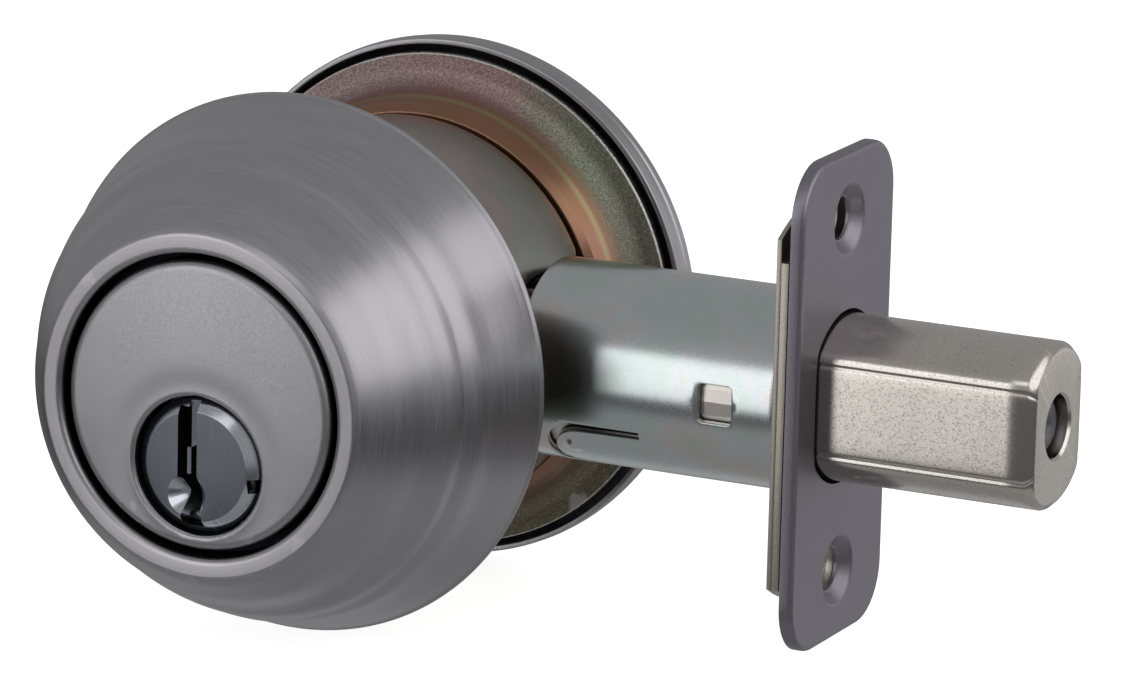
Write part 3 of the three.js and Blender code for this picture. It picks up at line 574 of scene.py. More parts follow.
# ---------------------------------------------------------------- exterior pieces
def spline(points, steps=4):
    """Smooth line through the points of a profile."""
    out = []
    last = len(points) - 1
    for i in range(last):
        p0, p1, p2, p3 = (Vector(points[max(0, min(last, j))]) for j in (i - 1, i, i + 1, i + 2))
        for k in range(steps):
            t = k / steps
            bend = 2 * p0 - 5 * p1 + 4 * p2 - p3
            twist = 3 * p1 - p0 - 3 * p2 + p3
            out.append(tuple(0.5 * (2 * p1 + (p2 - p0) * t + bend * t**2 + twist * t**3)))
    return out + [tuple(points[last])]


# Skin of the guard: distance in from its rear rim, distance behind its front.
GUARD_SKIN = [
    (11.3, 0.4), (10.75, 1.0), (9.6, 2.5), (8.6, 3.8), (7.95, 4.9), (7.35, 6.3), (6.7, 7.9),
    (6.0, 9.0), (5.2, 10.0), (4.65, 11.0), (4.4, 11.8), (4.22, 12.5), (3.9, 13.2), (3.5, 13.95),
    (3.2, 14.7), (2.97, 15.5), (2.56, 17.0), (1.85, 19.0), (1.12, 21.0), (0.62, 22.5), (0.3, 23.4),
]


def guard_shell():
    """Tapered guard: rolled lip, two soft bulges, a crease and a smooth skirt."""
    front, back, edge = GUARD_LOW.y, GUARD_HIGH.y, GUARD_HIGH.x
    lip = FACE_RADIUS + 0.85
    wall = 1.8
    web_front = front + 4.4
    rolled = [(lip, front + 1.8), (lip, front, 0.8), (edge - 11.9, front, 0.8), (edge - 11.3, front + 0.4)]
    skin = spline([(edge - inward, front + behind) for inward, behind in GUARD_SKIN])
    rear = [(edge - 0.3, back - 0.6), (edge, back - 0.3, 0.2), (edge, back, 0.2), (edge - 0.9, back, 0.3)]
    inside_wall = [
        (edge - wall, back - 1.0, 0.5),
        (edge - 3.8, front + 19.2, 1.0),
        (edge - 5.9, front + 15.0, 1.0),
        (edge - 7.0, front + 11.6, 1.0),
        (edge - 8.9, web_front + 2.2, 0.6),
        (15.4, web_front + 2.2, 0.3),
        (15.4, web_front, 0.3),
        (lip, web_front),
    ]
    outside = rounded(rolled, closed=False, steps=8)[:-1] + skin[:-1]
    guard = lathe("guard_shell", outside + rounded(rear + inside_wall, closed=False, steps=5), 256)

    def choose(centre, normal):
        radius = math.hypot(centre.x, centre.z)
        inward = centre.x * normal.x + centre.z * normal.z < 0
        # Index 1: the wall inside the lip gets the near-black painted shade of the gap round the cylinder
        # face.
        if radius < lip + 0.1 and centre.y > front + 0.9:
            return 1
        return 2 if inward and radius > lip + 1 and centre.y > front + 3 else 0

    two_finishes(guard, ["satin_nickel", "gap_painted_shade", "raw_casting"], choose)
    return guard


def smoothstep(value, low, high):
    """Eased share of the way from low to high."""
    t = min(1.0, max(0.0, (value - low) / (high - low)))
    return t * t * (3 - 2 * t)


def cylinder_face():
    """Round front of the cylinder: rolled rim, almost flat field, faint hollow round the plug."""
    front = HOUSING_LOW.y
    thickness = 4.0
    rim_round = 0.95
    hole_round = 0.45

    def height(x, z):
        radius = math.hypot(x, z)
        from_plug = math.hypot(x, z - PLUG_Z)
        dome = 0.5 * (radius / FACE_RADIUS) ** 2
        edge = min(rim_round, max(0.0, radius - (FACE_RADIUS - rim_round)))
        roll = rim_round - math.sqrt(rim_round**2 - edge**2)
        hollow = 0.12 * math.exp(-(((from_plug - PLUG_HOLE - 1.0) / 1.9) ** 2))
        inner = min(hole_round, max(0.0, PLUG_HOLE + hole_round - from_plug))
        sink = hole_round - math.sqrt(hole_round**2 - inner**2)
        return front - 0.1 + dome + roll + hollow + sink

    outer = circle(FACE_RADIUS, count=220)
    hole = circle(PLUG_HOLE, v=PLUG_Z, count=140)
    extra = []
    for k in range(1, 9):
        extra += circle(FACE_RADIUS - 0.11 * k - 0.012 * k * k, count=220)
    for k in range(1, 14):
        extra += circle(PLUG_HOLE + 0.09 * k + 0.018 * k * k, v=PLUG_Z, count=140)
    radius = FACE_RADIUS - 2.4
    while radius > 0.5:
        ring = circle(radius, count=max(12, int(radius * 9)))
        extra += [p for p in ring if math.hypot(p[0], p[1] - PLUG_Z) > PLUG_HOLE + 4.6]
        radius -= 0.62
    extra = [
        p for p in extra
        if math.hypot(*p) < FACE_RADIUS - 0.05 and math.hypot(p[0], p[1] - PLUG_Z) > PLUG_HOLE + 0.05
    ]
    face = sheet(
        "cylinder_face", outer, [hole], extra,
        lambda x, z: (x, height(x, z), z),
        lambda x, z: (x, front + thickness, z),
        40,
    )

    def choose(centre, normal):
        # Side walls, the plug hole's wall among them, get the near-black painted shade of the gap.
        return 1 if abs(normal.y) < 0.1 else 0

    two_finishes(face, ["cylinder_nickel", "gap_painted_shade"], choose)
    return face


def cylinder_body():
    """The housing behind the face, bored for the plug."""
    front, back = HOUSING_LOW.y + 4.05, HOUSING_HIGH.y
    profile = rounded([(0, front), (14.55, front, 0.3), (14.55, back, 0.5), (0, back)], closed=False)
    body = lathe("cylinder_body", profile, 120)
    wide = PLUG_HOLE - 1.45
    bore = lathe("bore", [(0, front - 1), (wide, front - 1), (wide, back + 1), (0, back + 1)], 64, PLUG_Z)
    return cut(body, bore)


def keyway_outline():
    """Warded keyway: an upper slot to the left, a middle slot and a widening lower slot."""
    top, bottom = 6.75, -7.0
    points = [
        (-2.35, top), (-1.1, top), (-1.1, -0.9), (-0.6, -0.9), (-0.6, 2.3), (0.1, 2.3), (0.1, -1.0),
        (0.35, -1.7), (0.3, -3.4), (0.95, bottom), (-2.0, bottom), (-1.7, -3.4), (-1.9, -1.7), (-2.35, -1.4),
    ]
    return [(u, v + PLUG_Z) for u, v in points]


def plug_front():
    """Keyed plug: chamfered flange, barrel, keyway, key scoop and the small notch on the chamfer."""
    front, back = PLUG_LOW.y, PLUG_HIGH.y
    radius = PLUG_RADIUS
    flat = radius - 1.5
    barrel = 6.35
    flange_back = front + 2.2
    profile = rounded([
        (0, front), (flat, front, 0.08), (radius - 0.1, front + 1.2, 0.12), (radius, front + 1.4, 0.1),
        (radius, flange_back, 0.1), (barrel, flange_back, 0.1), (barrel, back, 0.4), (0, back),
    ], closed=False, steps=4)
    plug = lathe("plug_front", profile, 160, PLUG_Z)

    def deep(u, v, w):
        return u, front - 1 + w, v

    keyway = prism("keyway", keyway_outline(), deep, back - front + 2)
    ward_corners = ((-1.2, 2.2), (0.1, 2.2), (0.1, 9.0), (-1.2, 9.0))
    ward = prism("ward", [(u, v + PLUG_Z) for u, v in ward_corners], deep, 2.0)
    cone = [(0, front + 2.7), (2.5, front - 0.1), (2.5, front - 1), (0, front - 1)]
    scoop = lathe("scoop", cone, 48, PLUG_Z - 3.5, -1.15)
    high, low = PLUG_Z - 0.7, PLUG_Z - 2.35
    notch = prism("notch", [(flat + 0.1, low), (9.0, low), (9.0, high), (flat + 0.1, high)], deep, 3.4)
    cut(plug, keyway, ward, scoop, notch)
    shade(plug, 25)

    def choose(centre, normal):
        from_axis = math.hypot(centre.x, centre.z - PLUG_Z)
        return 0 if normal.y < -0.98 and from_axis < flat else 1

    two_finishes(plug, ["plug_nickel", "plug_polished"], choose)
    return plug


def wrap_y(radius):
    """Wraps a flat sheet (arc length, y) round the Y axis."""
    return lambda u, v: (radius * math.sin(u / radius), v, radius * math.cos(u / radius))


def wrap_x(radius):
    """Wraps a flat sheet (arc length, x) round the X axis; arc length runs from the top to the exterior."""
    return lambda u, v: (v, -radius * math.sin(u / radius), radius * math.cos(u / radius))


def on_radius(mapping, full, radius):
    """A mapping for another radius over the same flat sheet."""
    return lambda u, v: mapping(u * radius / full, v)


def grid(u0, u1, v0, v1, du, dv, outlines, clear):
    """Points inside a rectangle that keep clear of every outline."""
    out = []
    columns, rows = round((u1 - u0) / du), round((v1 - v0) / dv)
    for i in range(1, columns):
        for j in range(1, rows):
            point = (u0 + (u1 - u0) * i / columns, v0 + (v1 - v0) * j / rows)
            if all(distance_to(point, outline) > clear for outline in outlines):
                out.append(point)
    return out


def distance_to(point, outline):
    """Distance from a point to a closed outline, or 0 inside a hole of it."""
    if inside(point, outline):
        return 0.0
    p = Vector(point)
    best = 1e9
    for a, b in zip(outline, outline[1:] + outline[:1]):
        a, b = Vector(a), Vector(b)
        side = b - a
        t = max(0.0, min(1.0, (p - a).dot(side) / max(side.length_squared, 1e-12)))
        best = min(best, (a + side * t - p).length)
    return best


def sleeve_shell():
    """Cross-bore sleeve with a U notch for the bolt tube, open towards the interior."""
    radius = SLEEVE_RADIUS
    inner = radius - 1.5
    back = SLEEVE_HIGH.y
    front = SLEEVE_LOW.y + 1.6
    turn = TAU * radius
    middle = turn / 4
    notch_radius, notch_y, mouth = 9.6, -1.4, 1.2

    def along(z):
        return radius * math.asin(z / radius)

    half = along(notch_radius)
    corner = [math.pi / 16 * k for k in range(1, 9)]
    bottom = [math.pi + math.pi / 40 * k for k in range(41)]
    notch = [(middle - half - mouth, back)]
    notch += [(middle - half - mouth * (1 - math.sin(a)), back - mouth * (1 - math.cos(a))) for a in corner]
    notch += [
        (middle + along(notch_radius * math.cos(a)), notch_y + notch_radius * math.sin(a))
        for a in bottom
    ]
    notch += [
        (middle + half + mouth * (1 - math.sin(a)), back - mouth * (1 - math.cos(a)))
        for a in reversed(corner)
    ]
    notch += [(middle + half + mouth, back)]
    columns, rows = 180, 24
    step = turn / columns
    across = [step * k for k in range(columns + 1)]
    side = [front + (back - front) * k / rows for k in range(rows + 1)]
    outline = [(u, back) for u in across if u < middle - half - mouth - 0.3]
    outline += notch + [(u, back) for u in across if u > middle + half + mouth + 0.3]
    outline += [(turn, v) for v in reversed(side[:-1])]
    outline += [(u, front) for u in reversed(across[1:-1])]
    outline += [(0.0, v) for v in side[:-1]]
    extra = grid(0, turn, front, back, step, (back - front) / rows, [notch], 0.35)
    inside_map = on_radius(wrap_y(inner), radius, inner)
    sleeve = sheet("sleeve_shell", outline, [], extra, wrap_y(radius), inside_map, seam=turn)
    return soften(sleeve, 0.14)


def sleeve_front():
    """Front flange of the sleeve, turned in round its opening."""
    front = SLEEVE_LOW.y
    radius = SLEEVE_RADIUS
    opening = 15.1
    profile = [
        (opening, front, 0.2), (radius - 1.3, front, 1.2), (radius, front + 1.55, 0.2),
        (radius - 1.5, front + 1.55), (opening, front + 1.5, 0.2),
    ]
    return lathe("sleeve_front", rounded(profile), 128)


# ---------------------------------------------------------------- interior pieces
def mounting_dish():
    """Dished plate: flange on the door, cone into the cross bore, flat web with its holes."""
    front, back, edge = PLATE_LOW.y, PLATE_HIGH.y, PLATE_HIGH.x
    sheet_metal = 1.2
    boss = 24.55
    profile = rounded([
        (0, front), (boss - 0.5, front, 0.3), (boss + 0.25, front + 0.9, 0.5), (boss + 1.1, front + 3.6, 2.0),
        (boss + 1.75, front + 5.9, 3.0), (boss + 2.9, front + 7.1, 2.2), (edge - 0.1, front + 7.2, 0.15),
        (edge, front + 7.5, 0.1), (edge, back, 0.25), (boss + 2.2, back, 0.8), (boss + 0.5, back - 1.7, 1.0),
        (boss - 1.3, front + sheet_metal, 0.6), (0, front + sheet_metal),
    ], closed=False)
    dish = lathe("mounting_dish", profile, 200)
    places = [(x, MOUNTING_SCREW_Z, 2.75) for x in (-MOUNTING_SCREW_X, MOUNTING_SCREW_X)]
    places += [(x, 0, 2.0) for x in (-ROSE_SCREW_X, ROSE_SCREW_X)]
    places += [(0, PLUG_Z, 5.2)]
    holes = [
        lathe("hole", [(0, front - 3), (radius, front - 3), (radius, front + 4), (0, front + 4)], 40, z, x)
        for x, z, radius in places
    ]
    cut(dish, *holes)
    shade(dish, 32)

    def choose(centre, normal):
        radius = math.hypot(centre.x, centre.z)
        sheared = abs(radius - boss) < 0.3 and front + 0.02 < centre.y < front + 0.4
        return 1 if sheared or radius > edge - 0.2 else 0

    two_finishes(dish, ["mounting_dichromate", "raw_edge"], choose)
    return dish


def rose_shell():
    """Interior rose: straight rim with a line rolled in it, soft shoulder and flat face."""
    front, face, edge = ROSE_LOW.y, ROSE_HIGH.y, ROSE_HIGH.x
    profile = rounded([
        (edge - 0.75, front, 0.2), (edge - 0.1, front, 0.2), (edge, front + 1.2, 0.3),
        (edge, front + 2.0, 0.15), (edge - 0.28, front + 2.3, 0.15), (edge - 0.05, front + 2.65, 0.3),
        (edge - 0.25, front + 4.1, 1.0), (edge - 2.9, front + 6.5, 3.0), (24.6, face, 2.5),
        (0, face), (0, face - 1.2), (24.2, face - 1.2, 2.0),
        (edge - 3.4, front + 5.4, 2.0), (edge - 0.8, front + 3.2, 0.8),
    ], closed=True, steps=7)
    dome = lathe("rose_shell", profile, 220)
    cut_from, cut_to = 24, 29
    shaft = [(0, cut_from), (4.9, cut_from), (4.9, cut_to), (0, cut_to)]
    countersunk = [(0, cut_from), (2.1, cut_from), (2.1, face - 0.9), (3.9, face + 0.9), (0, face + 0.9)]
    shaft = lathe("shaft", shaft, 48, PLUG_Z)
    holes = [lathe("hole", countersunk, 40, 0, x) for x in (-ROSE_SCREW_X, ROSE_SCREW_X)]
    cut(dome, shaft, *holes)
    shade(dome, 32)
    return dome


def cross_slot(name, x, z, reach, width, y0, y1):
    """Two crossed bars that cut a driver slot."""
    tools = []
    for a, b in ((reach, width), (width, reach)):
        outline = [(x - a, z - b), (x + a, z - b), (x + a, z + b), (x - a, z + b)]
        tools.append(prism(name, outline, lambda u, v, w: (u, y0 + w, v), y1 - y0))
    return tools


def oval_screw(name, x):
    """Rose screw with a domed, countersunk head."""
    low, high = box_mm(name)
    face = ROSE_HIGH.y
    profile = rounded([
        (0, low.y), (1.65, low.y, 0.3), (1.65, face - 0.9), (3.2, face + 0.3, 0.2),
        (2.6, face + 0.62, 0.6), (1.2, high.y, 1.0), (0, high.y),
    ], closed=False)
    screw = lathe(name + "_head", profile, 56, 0, x)
    cut(screw, *cross_slot("slot", x, 0, 1.5, 0.35, face - 0.3, face + 3))
    shade(screw, 35)
    return screw


def through_screw(name, x):
    """Long mounting screw with a pan head."""
    low, high = box_mm(name)
    head = high.y - 2.7
    profile = rounded([
        (0, low.y), (1.85, low.y, 0.2), (2.35, low.y + 0.8, 0.1), (2.35, head), (4.3, head, 0.2),
        (4.15, head + 1.6, 0.6), (2.4, high.y, 1.2), (0, high.y),
    ], closed=False)
    screw = lathe(name + "_body", profile, 56, MOUNTING_SCREW_Z, x)
    cut(screw, *cross_slot("slot", x, MOUNTING_SCREW_Z, 2.2, 0.5, head + 1.2, head + 5))
    shade(screw, 35)
    return screw


def thumbturn_hub():
    """Shaft and flared collar of the thumbturn."""
    inner_end = TURN_LOW.y
    collar = ROSE_HIGH.y + 0.4
    profile = rounded([
        (0, inner_end), (4.3, inner_end, 0.2), (4.3, collar), (9.5, collar, 0.3), (9.5, collar + 1.5, 0.8),
        (7.3, collar + 3.0, 1.6), (5.4, collar + 5.6, 1.5), (0, collar + 6.4),
    ], closed=False)
    return lathe("thumbturn_hub", profile, 128, PLUG_Z)


def thumbturn_grip():
    """Waisted paddle: an oval section carried across the grip."""
    foot = ROSE_HIGH.y + 2.4
    crown = TURN_HIGH.y
    reach = TURN_HIGH.x
    rings = []
    steps, around = 60, 40
    for i in range(steps + 1):
        t = -1 + 2 * i / steps
        x = reach * math.sin(t * math.pi / 2)
        share = abs(x) / reach
        end = math.sqrt(max(0.0, 1 - share**8)) if i not in (0, steps) else 0.0
        top = crown - 1.3 + 1.25 * share**1.6
        bottom = foot + 6.4 * smoothstep(share, 0.16, 0.62)
        middle, half = (top + bottom) / 2, (top - bottom) / 2
        thick = 2.15 + 0.75 * share**2
        if i in (0, steps):
            rings.append([(math.copysign(reach, x), middle, PLUG_Z)])
            continue
        ring = []
        for k in range(around):
            a = TAU * k / around
            c, s = math.cos(a), math.sin(a)
            y = middle + half * end * math.copysign(abs(c) ** 0.55, c)
            z = PLUG_Z + thick * end**0.6 * math.copysign(abs(s) ** 0.6, s)
            ring.append((x, y, z))
        rings.append(ring)
    return loft("thumbturn_grip", rings, 60)


# ---------------------------------------------------------------- bolt assembly
def tube_shell():
    """Bolt tube with its window and the U slot that frees a spring tongue with a pressed dimple."""
    radius, wall = TUBE_RADIUS, 0.8
    start, end = TUBE_LOW.x, BACKPLATE_BACK
    turn = TAU * radius

    def arc(degrees):
        return math.radians(degrees) * radius

    half_window = 2.3
    window_sides = (arc(90) - half_window, arc(90) + half_window)
    window_from, window_to = 47.3, 51.5
    corners = (
        (window_sides[0], window_from), (window_sides[1], window_from),
        (window_sides[1], window_to), (window_sides[0], window_to),
    )
    window = rounded([(u, x, 0.55) for u, x in corners], steps=4)
    width = 1.0
    centre, half = arc(140), arc(25)
    tip, run_end = 27.1, 39.5
    corner = half * 0.95
    quarter = [math.pi / 2 * k / 10 for k in range(11)]

    def tip_arc(a):
        return corner * (1 - math.cos(a)), tip + corner * (1 - math.sin(a)) * 0.8

    path = [(-half, run_end)] + [(-half + tip_arc(a)[0], tip_arc(a)[1]) for a in quarter]
    path += [(half - tip_arc(a)[0], tip_arc(a)[1]) for a in reversed(quarter)] + [(half, run_end)]
    narrow = (half - width) / half
    shorter = (run_end - tip - width) / (run_end - tip)
    slot_outline = [(centre + u, x) for u, x in path]
    slot_outline += [(centre + u * narrow, run_end - (run_end - x) * shorter) for u, x in reversed(path)]
    rows, columns = 38, 150
    step = turn / columns
    side = [start + (end - start) * k / rows for k in range(rows + 1)]
    outline = [(step * k, start) for k in range(columns)] + [(turn, v) for v in side[:-1]]
    outline += [(step * k, end) for k in range(columns, 0, -1)] + [(0.0, v) for v in reversed(side[1:])]
    extra = grid(0, turn, start, end, step, (end - start) / rows, [window, slot_outline], 0.22)
    dimple = (arc(133), 30.4)
    extra += [p for r in (0.3, 0.6, 0.9, 1.2, 1.45) for p in circle(r, *dimple, count=24)] + [dimple]

    def skin(level):
        def place(u, v):
            away = math.hypot(u - dimple[0], v - dimple[1])
            here = radius - level + 0.45 * (1 - smoothstep(away, 0.1, 1.4))
            return wrap_x(here)(u * here / radius, v)
        return place

    tube = sheet("tube_shell", outline, [window, slot_outline], extra, skin(0.0), skin(wall), seam=turn)
    return soften(tube, 0.09)


def bolt_radius(angle, inset=0.0, tight=30.0, groove=0.12):
    """Polar radius of the bolt's section: round above and below, flat sides with a faint edge groove."""
    height = BOLT_HALF_WIDTH * math.tan(angle) if abs(math.cos(angle)) > 1e-6 else BOLT_RADIUS
    sunk = groove * math.exp(-(((abs(height) - 5.3) / 0.24) ** 2))
    side = (BOLT_HALF_WIDTH - inset - sunk) / max(abs(math.cos(angle)), 1e-6)
    return ((BOLT_RADIUS - inset) ** -tight + side**-tight) ** (-1 / tight)


def bolt_body():
    """Bolt with a bevelled end and a counterbored roller hole."""
    count = 480
    end = BOLT_HIGH.x
    shoulder = box_mm("faceplate")[0].x - 6.5
    angles = [TAU * k / count for k in range(count)]

    def section(x, inset):
        return [(x, bolt_radius(a, inset) * math.cos(a), bolt_radius(a, inset) * math.sin(a)) for a in angles]

    def ring(x, radius):
        return [(x, radius * math.cos(a), radius * math.sin(a)) for a in angles]

    hole = 3.65
    rings = [[(shoulder, 0, 0)], ring(shoulder, 5), section(shoulder, 0.4), section(shoulder + 0.4, 0.0)]
    rings += [section(shoulder + (end - 1.0 - shoulder) * k / 14, 0.0) for k in range(1, 15)]
    bevel = ((0.85, 0.06), (0.25, 0.62), (0.08, 0.86), (0, 1.15))
    rings += [section(end - behind, inset) for behind, inset in bevel]
    rings += [ring(end, hole + 0.35), ring(end, hole + 0.28)]
    rings += [ring(end - inward, hole) for inward in (0.3, 1.0, 9.0, 28.0)]
    rings += [[(end - 28.0, 0, 0)]]
    return loft("bolt_body", rings, 40)


def bolt_neck():
    """Forked neck behind the bolt, open at the top for the tail."""
    outline = rounded([
        (-3.8, -4.9, 0.5), (3.8, -4.9, 0.5), (3.8, 8.6, 0.5), (1.7, 8.8, 0.2),
        (1.7, 0.8, 0.2), (-1.7, 0.8, 0.2), (-1.7, 8.8, 0.2), (-3.8, 8.6, 0.5),
    ], steps=3)
    start = BOLT_LOW.x
    depth = box_mm("faceplate")[0].x - 6.4 - start
    return prism("bolt_neck", outline, lambda u, v, w: (start + w, u, v), depth)


def roller_pin():
    """Hardened roller: domed, turned end with a centre dimple."""
    x0, x1, radius = ROLLER_LOW.x, ROLLER_HIGH.x, ROLLER_HIGH.z
    count = 72
    stations = [
        (0.0, x0), (radius - 0.5, x0), (radius - 0.1, x0 + 0.25), (radius, x0 + 0.6),
        (radius, x1 - 0.7), (radius - 0.15, x1 - 0.3), (radius - 0.55, x1 - 0.05), (radius - 0.9, x1),
        (1.2, x1), (0.9, x1 - 0.15), (0.0, x1 - 0.5),
    ]
    angles = [TAU * k / count for k in range(count)]

    def ring(r, x):
        return [(x, 0, 0)] if r == 0 else [(x, r * math.cos(a), r * math.sin(a)) for a in angles]

    return loft("roller_pin", [ring(r, x) for r, x in stations], 40)


def at_x(x):
    """Maps a flat point (y, z) to the plane at x."""
    return lambda y, z: (x, y, z)


def plate_outline(width, height, corner):
    """Rounded rectangle centred on the bolt."""
    a, b = width / 2, height / 2
    return rounded_corners([(-a, -b), (a, -b), (a, b), (-a, b)], corner)


def rounded_corners(points, radius, steps=14):
    """True circular corners on a convex outline of right angles."""
    out = []
    count = len(points)
    for i, point in enumerate(points):
        here = Vector(point)
        before = (Vector(points[i - 1]) - here).normalized()
        after = (Vector(points[(i + 1) % count]) - here).normalized()
        centre = here + (before + after) * radius
        for k in range(steps + 1):
            a = math.pi / 2 * k / steps
            out.append(tuple(centre - after * radius * math.cos(a) - before * radius * math.sin(a)))
    return out


def bolt_opening(gap, count=120):
    """The bolt's outline grown by a gap."""
    angles = [TAU * k / count for k in range(count)]
    return [((bolt_radius(a) + gap) * math.cos(a), (bolt_radius(a) + gap) * math.sin(a)) for a in angles]


def face_trim():
    """Faceplate with rolled edges, two countersunk holes and the bolt opening."""
    width, height = FACE_HIGH.y - FACE_LOW.y, FACE_HIGH.z - FACE_LOW.z
    front, back = FACE_HIGH.x, FACE_LOW.x
    screw_places = (-PLATE_SCREW_Z, PLATE_SCREW_Z)
    countersink = 4.22
    roll = 0.55

    def inset_outline(inward):
        corner = PLATE_CORNER - inward
        return split_long(plate_outline(width - 2 * inward, height - 2 * inward, corner), 1.3)

    outer = inset_outline(0)
    holes = [bolt_opening(0.45)] + [circle(2.5, 0, z, 64) for z in screw_places]
    extra = [p for inward in (0.08, 0.17, 0.28, 0.4, roll, 0.7, 0.95, 1.4) for p in inset_outline(inward)]
    for z in screw_places:
        extra += [p for r in (2.6, 2.9, 3.4, 3.9, countersink, 4.36, 4.6, 5.0) for p in circle(r, 0, z, 64)]
    extra += [p for gap in (0.62, 0.95, 1.4) for p in bolt_opening(gap)]
    half_width, half_height = width / 2, height / 2

    def from_edge(y, z):
        """Distance inside the rounded rectangle."""
        qy, qz = abs(y) - (half_width - PLATE_CORNER), abs(z) - (half_height - PLATE_CORNER)
        outside = math.hypot(max(qy, 0), max(qz, 0)) + min(max(qy, qz), 0) - PLATE_CORNER
        return -outside

    def level(y, z):
        depth = from_edge(y, z)
        fall = roll - math.sqrt(max(0.0, roll**2 - max(0.0, roll - depth) ** 2)) if depth < roll else 0.0
        sink = 0.0
        for hole_z in screw_places:
            away = math.hypot(y, z - hole_z)
            if away < countersink:
                sink = max(sink, min(1.25, (countersink - away) * 0.76))
        return front - fall - sink

    return sheet("face_trim", outer, holes, extra, lambda y, z: (level(y, z), y, z), at_x(back), 38)


def back_outline(half, side, steps=40):
    """Straight sides closed by two arcs of one circle."""
    angle = math.asin(side / half)
    sweep = [math.pi / 2 - angle + 2 * angle * k / steps for k in range(steps + 1)]
    top = [(half * math.cos(a), half * math.sin(a)) for a in sweep]
    return top + [(-y, -z) for y, z in top]


def back_trim():
    """Front leaf of the backplate, cut off square above the bolt opening."""
    cut_at = 17.7
    lower_end = [(y, z) for y, z in back_outline(BACK_HIGH.z, BACK_HIGH.y) if z < 0]
    outer = [(BACK_HIGH.y, cut_at), (-BACK_HIGH.y, cut_at)] + lower_end
    holes = [bolt_opening(0.6), circle(3.0, 0, -PLATE_SCREW_Z, 40)]
    middle = BACK_HIGH.x - 0.92
    plate = sheet("back_trim", outer, holes, [], at_x(BACK_HIGH.x), at_x(middle))
    return soften(plate, 0.16, 3)


def back_leaf():
    """Rear leaf of the backplate with round ends."""
    outer = back_outline(BACK_HIGH.z, BACK_HIGH.y)
    holes = [bolt_opening(0.6)] + [circle(3.0, 0, z, 40) for z in (-PLATE_SCREW_Z, PLATE_SCREW_Z)]
    front = BACK_HIGH.x - 0.94
    leaf = sheet("back_leaf", outer, holes, [], at_x(front), at_x(BACKPLATE_BACK))
    return soften(leaf, 0.12, 3)


# ---------------------------------------------------------------- camera, light and floor
def studio():
    """View transform, plain floor, surround and three soft lights."""
    scene = bpy.context.scene
    scene.view_settings.view_transform = "Standard"
    scene.view_settings.look = "None"
    floor_z = GUARD_LOW.z - 0.15
    reach = 3000
    signs = ((-1, -1), (1, -1), (1, 1), (-1, 1))
    corners = [(reach * a, reach * b, floor_z) for a, b in signs]
    floor = new_object("floor", corners, [(0, 1, 2, 3)])
    nodes = Nodes("floor")
    soft = nodes.noise(nodes.position(), 3.0)
    nodes.set(Base_Color=nodes.mix(soft, (0.88, 0.88, 0.885), (0.9, 0.9, 0.9)), Roughness=0.9)
    nodes.set(Emission_Color=(1.0, 1.0, 1.0), Emission_Strength=0.84)
    floor.data.materials.append(nodes.material)
    floor.visible_glossy = False
    surround(scene)
    target = Vector((20, 0, 0))
    area_light("key", (-0.445, -0.868, 0.105), target, 0.42, 0.84, 1.45)
    area_light("right", (0.88, 0.0, 0.475), target, 1.4, 0.85, 3.5)
    area_light("top", (0.05, -0.75, 0.66), target, 0.5, 0.4, 0.5)


def surround(scene):
    """Soft surround: pale above and below, a dark band under the horizon and a pale patch behind."""
    world = bpy.data.worlds.new("surround")
    scene.world = world
    world.use_nodes = True
    tree = world.node_tree

    def node(kind, **settings):
        made = tree.nodes.new(kind)
        for key, value in settings.items():
            setattr(made, key, value)
        return made

    coords = node("ShaderNodeTexCoord").outputs["Generated"]
    split = node("ShaderNodeSeparateXYZ")
    tree.links.new(coords, split.inputs[0])
    height = node("ShaderNodeMapRange")
    tree.links.new(split.outputs[2], height.inputs[0])
    height.inputs[1].default_value = -1.0
    ramp = node("ShaderNodeValToRGB")
    tree.links.new(height.outputs[0], ramp.inputs[0])
    stops = [
        (-1.0, 0.27), (-0.62, 0.32), (-0.5, 0.16), (-0.42, 0.1),
        (-0.22, 0.1), (-0.12, 0.22), (0.0, 0.32), (1.0, 0.34),
    ]
    elements = ramp.color_ramp.elements
    while len(elements) < len(stops):
        elements.new(0.5)
    for element, (upward, value) in zip(elements, stops):
        element.position = (upward + 1) / 2
        element.color = (value, value, value * 1.01, 1.0)

    def patch(direction, edge, core, strength):
        toward = node("ShaderNodeVectorMath", operation="DOT_PRODUCT")
        tree.links.new(coords, toward.inputs[0])
        toward.inputs[1].default_value = direction
        made = node("ShaderNodeMapRange", interpolation_type="SMOOTHSTEP")
        tree.links.new(toward.outputs["Value"], made.inputs[0])
        for index, value in zip((1, 2, 3, 4), (edge, core, 0.0, strength)):
            made.inputs[index].default_value = value
        return made.outputs[0]

    total = ramp.outputs[0]
    glows = (
        patch((0.445, 0.863, -0.241), 0.83, 0.985, 0.36),
        patch((-0.42, 0.7, -0.58), 0.9, 0.99, 0.12),
    )
    for glow in glows:
        added = node("ShaderNodeVectorMath", operation="ADD")
        tree.links.new(total, added.inputs[0])
        tree.links.new(glow, added.inputs[1])
        total = added.outputs[0]
    tree.links.new(total, tree.nodes["Background"].inputs[0])


def area_light(name, direction, target, width, height, power):
    """Soft rectangle, one metre from the target."""
    data = bpy.data.lights.new(name, "AREA")
    data.shape = "RECTANGLE"
    data.size = width
    data.size_y = height
    data.energy = power
    light = bpy.data.objects.new(name, data)
    bpy.context.scene.collection.objects.link(light)
    aim = Vector(direction).normalized()
    light.location = target * MM + aim
    light.rotation_euler = (-aim).to_track_quat("-Z", "Y").to_euler()


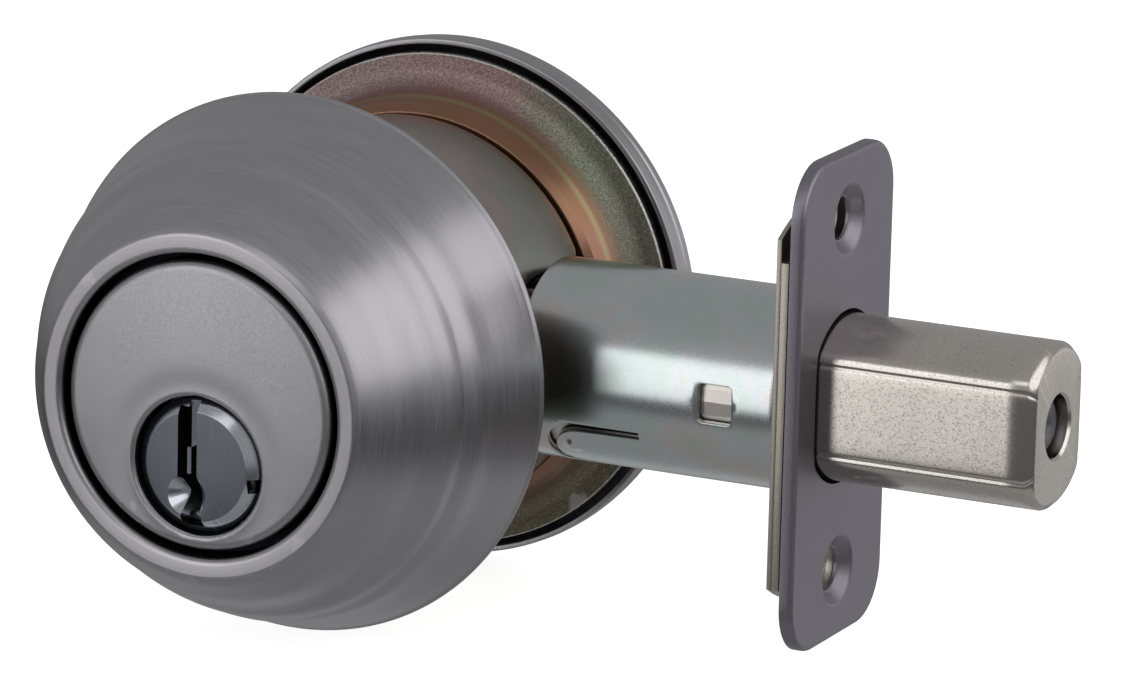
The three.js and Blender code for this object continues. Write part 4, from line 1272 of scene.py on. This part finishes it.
def camera():
    """Camera of the reference view: place, turn and focal length."""
    place = Vector((374.3648, -725.9051, 202.9680)) * MM
    yaw, pitch, roll = 0.448991, -0.245071, 0.025403
    focal = 229.11564
    ahead = Vector((-math.sin(yaw) * math.cos(pitch), math.cos(yaw) * math.cos(pitch), math.sin(pitch)))
    right = Vector((math.cos(yaw), math.sin(yaw), 0))
    up = right.cross(ahead)
    tilted_right = right * math.cos(roll) + up * math.sin(roll)
    tilted_up = up * math.cos(roll) - right * math.sin(roll)
    data = bpy.data.cameras.new("camera")
    data.sensor_width = 36
    data.lens = focal
    data.clip_start = 0.01
    eye = bpy.data.objects.new("camera", data)
    bpy.context.scene.collection.objects.link(eye)
    turn = Matrix((tilted_right, tilted_up, -ahead)).transposed().to_4x4()
    eye.matrix_world = Matrix.Translation(place) @ turn
    bpy.context.scene.camera = eye


# ---------------------------------------------------------------- assembly
studio()
camera()

dress(guard_shell(), "guard", "satin_nickel", "satin_nickel", "cylinder_guard")
dress(cylinder_face(), "root", "cylinder_nickel", "cylinder_nickel", "cylinder_housing")
dress(cylinder_body(), "root", "cylinder_nickel", "cylinder_nickel")
dress(plug_front(), "plug", "plug_nickel", "plug_nickel", "plug")
dress(sleeve_shell(), "root", "sleeve_zinc", "sleeve_zinc", "guard_sleeve")
dress(sleeve_front(), "root", "sleeve_zinc", "sleeve_zinc")

dress(mounting_dish(), "root", "mounting_dichromate", "yellow_zinc", "mounting_plate")
dress(rose_shell(), "root", "satin_nickel", "satin_nickel", "rose")
for screw_side, sign in (("left", -1), ("right", 1)):
    rose_screw = f"rose_screw_{screw_side}"
    long_screw = f"mounting_screw_{screw_side}"
    dress(oval_screw(rose_screw, ROSE_SCREW_X * sign), "root", "satin_nickel", "satin_nickel", rose_screw)
    dress(through_screw(long_screw, MOUNTING_SCREW_X * sign), "root", "blue_zinc", "blue_zinc", long_screw)
dress(thumbturn_hub(), "thumbturn", "satin_nickel", "satin_nickel", "thumbturn")
dress(thumbturn_grip(), "thumbturn", "satin_nickel", "satin_nickel")

dress(tube_shell(), "root", "blue_zinc", "blue_zinc", "bolt_tube")
dress(bolt_body(), "bolt", "bolt_nickel", "bolt_nickel", "bolt")
dress(bolt_neck(), "bolt", "bolt_nickel", "bolt_nickel")
dress(roller_pin(), "roller", "dark_steel", "spring_steel", "hardened_roller")
dress(face_trim(), "root", "faceplate_nickel", "faceplate_nickel", "faceplate")
dress(back_trim(), "root", "backplate_nickel", "bolt_nickel", "backplate")
dress(back_leaf(), "root", "backplate_nickel", "bolt_nickel")

SLOT_FINISH = {entry["node"]: entry["material_slot"] for entry in frame["record"]["subparts"]}
for node_name, node_object in frame["nodes"].items():
    node_object.data.materials.clear()
    node_object.data.materials.append(FINISHES[SLOT_FINISH[node_name]])
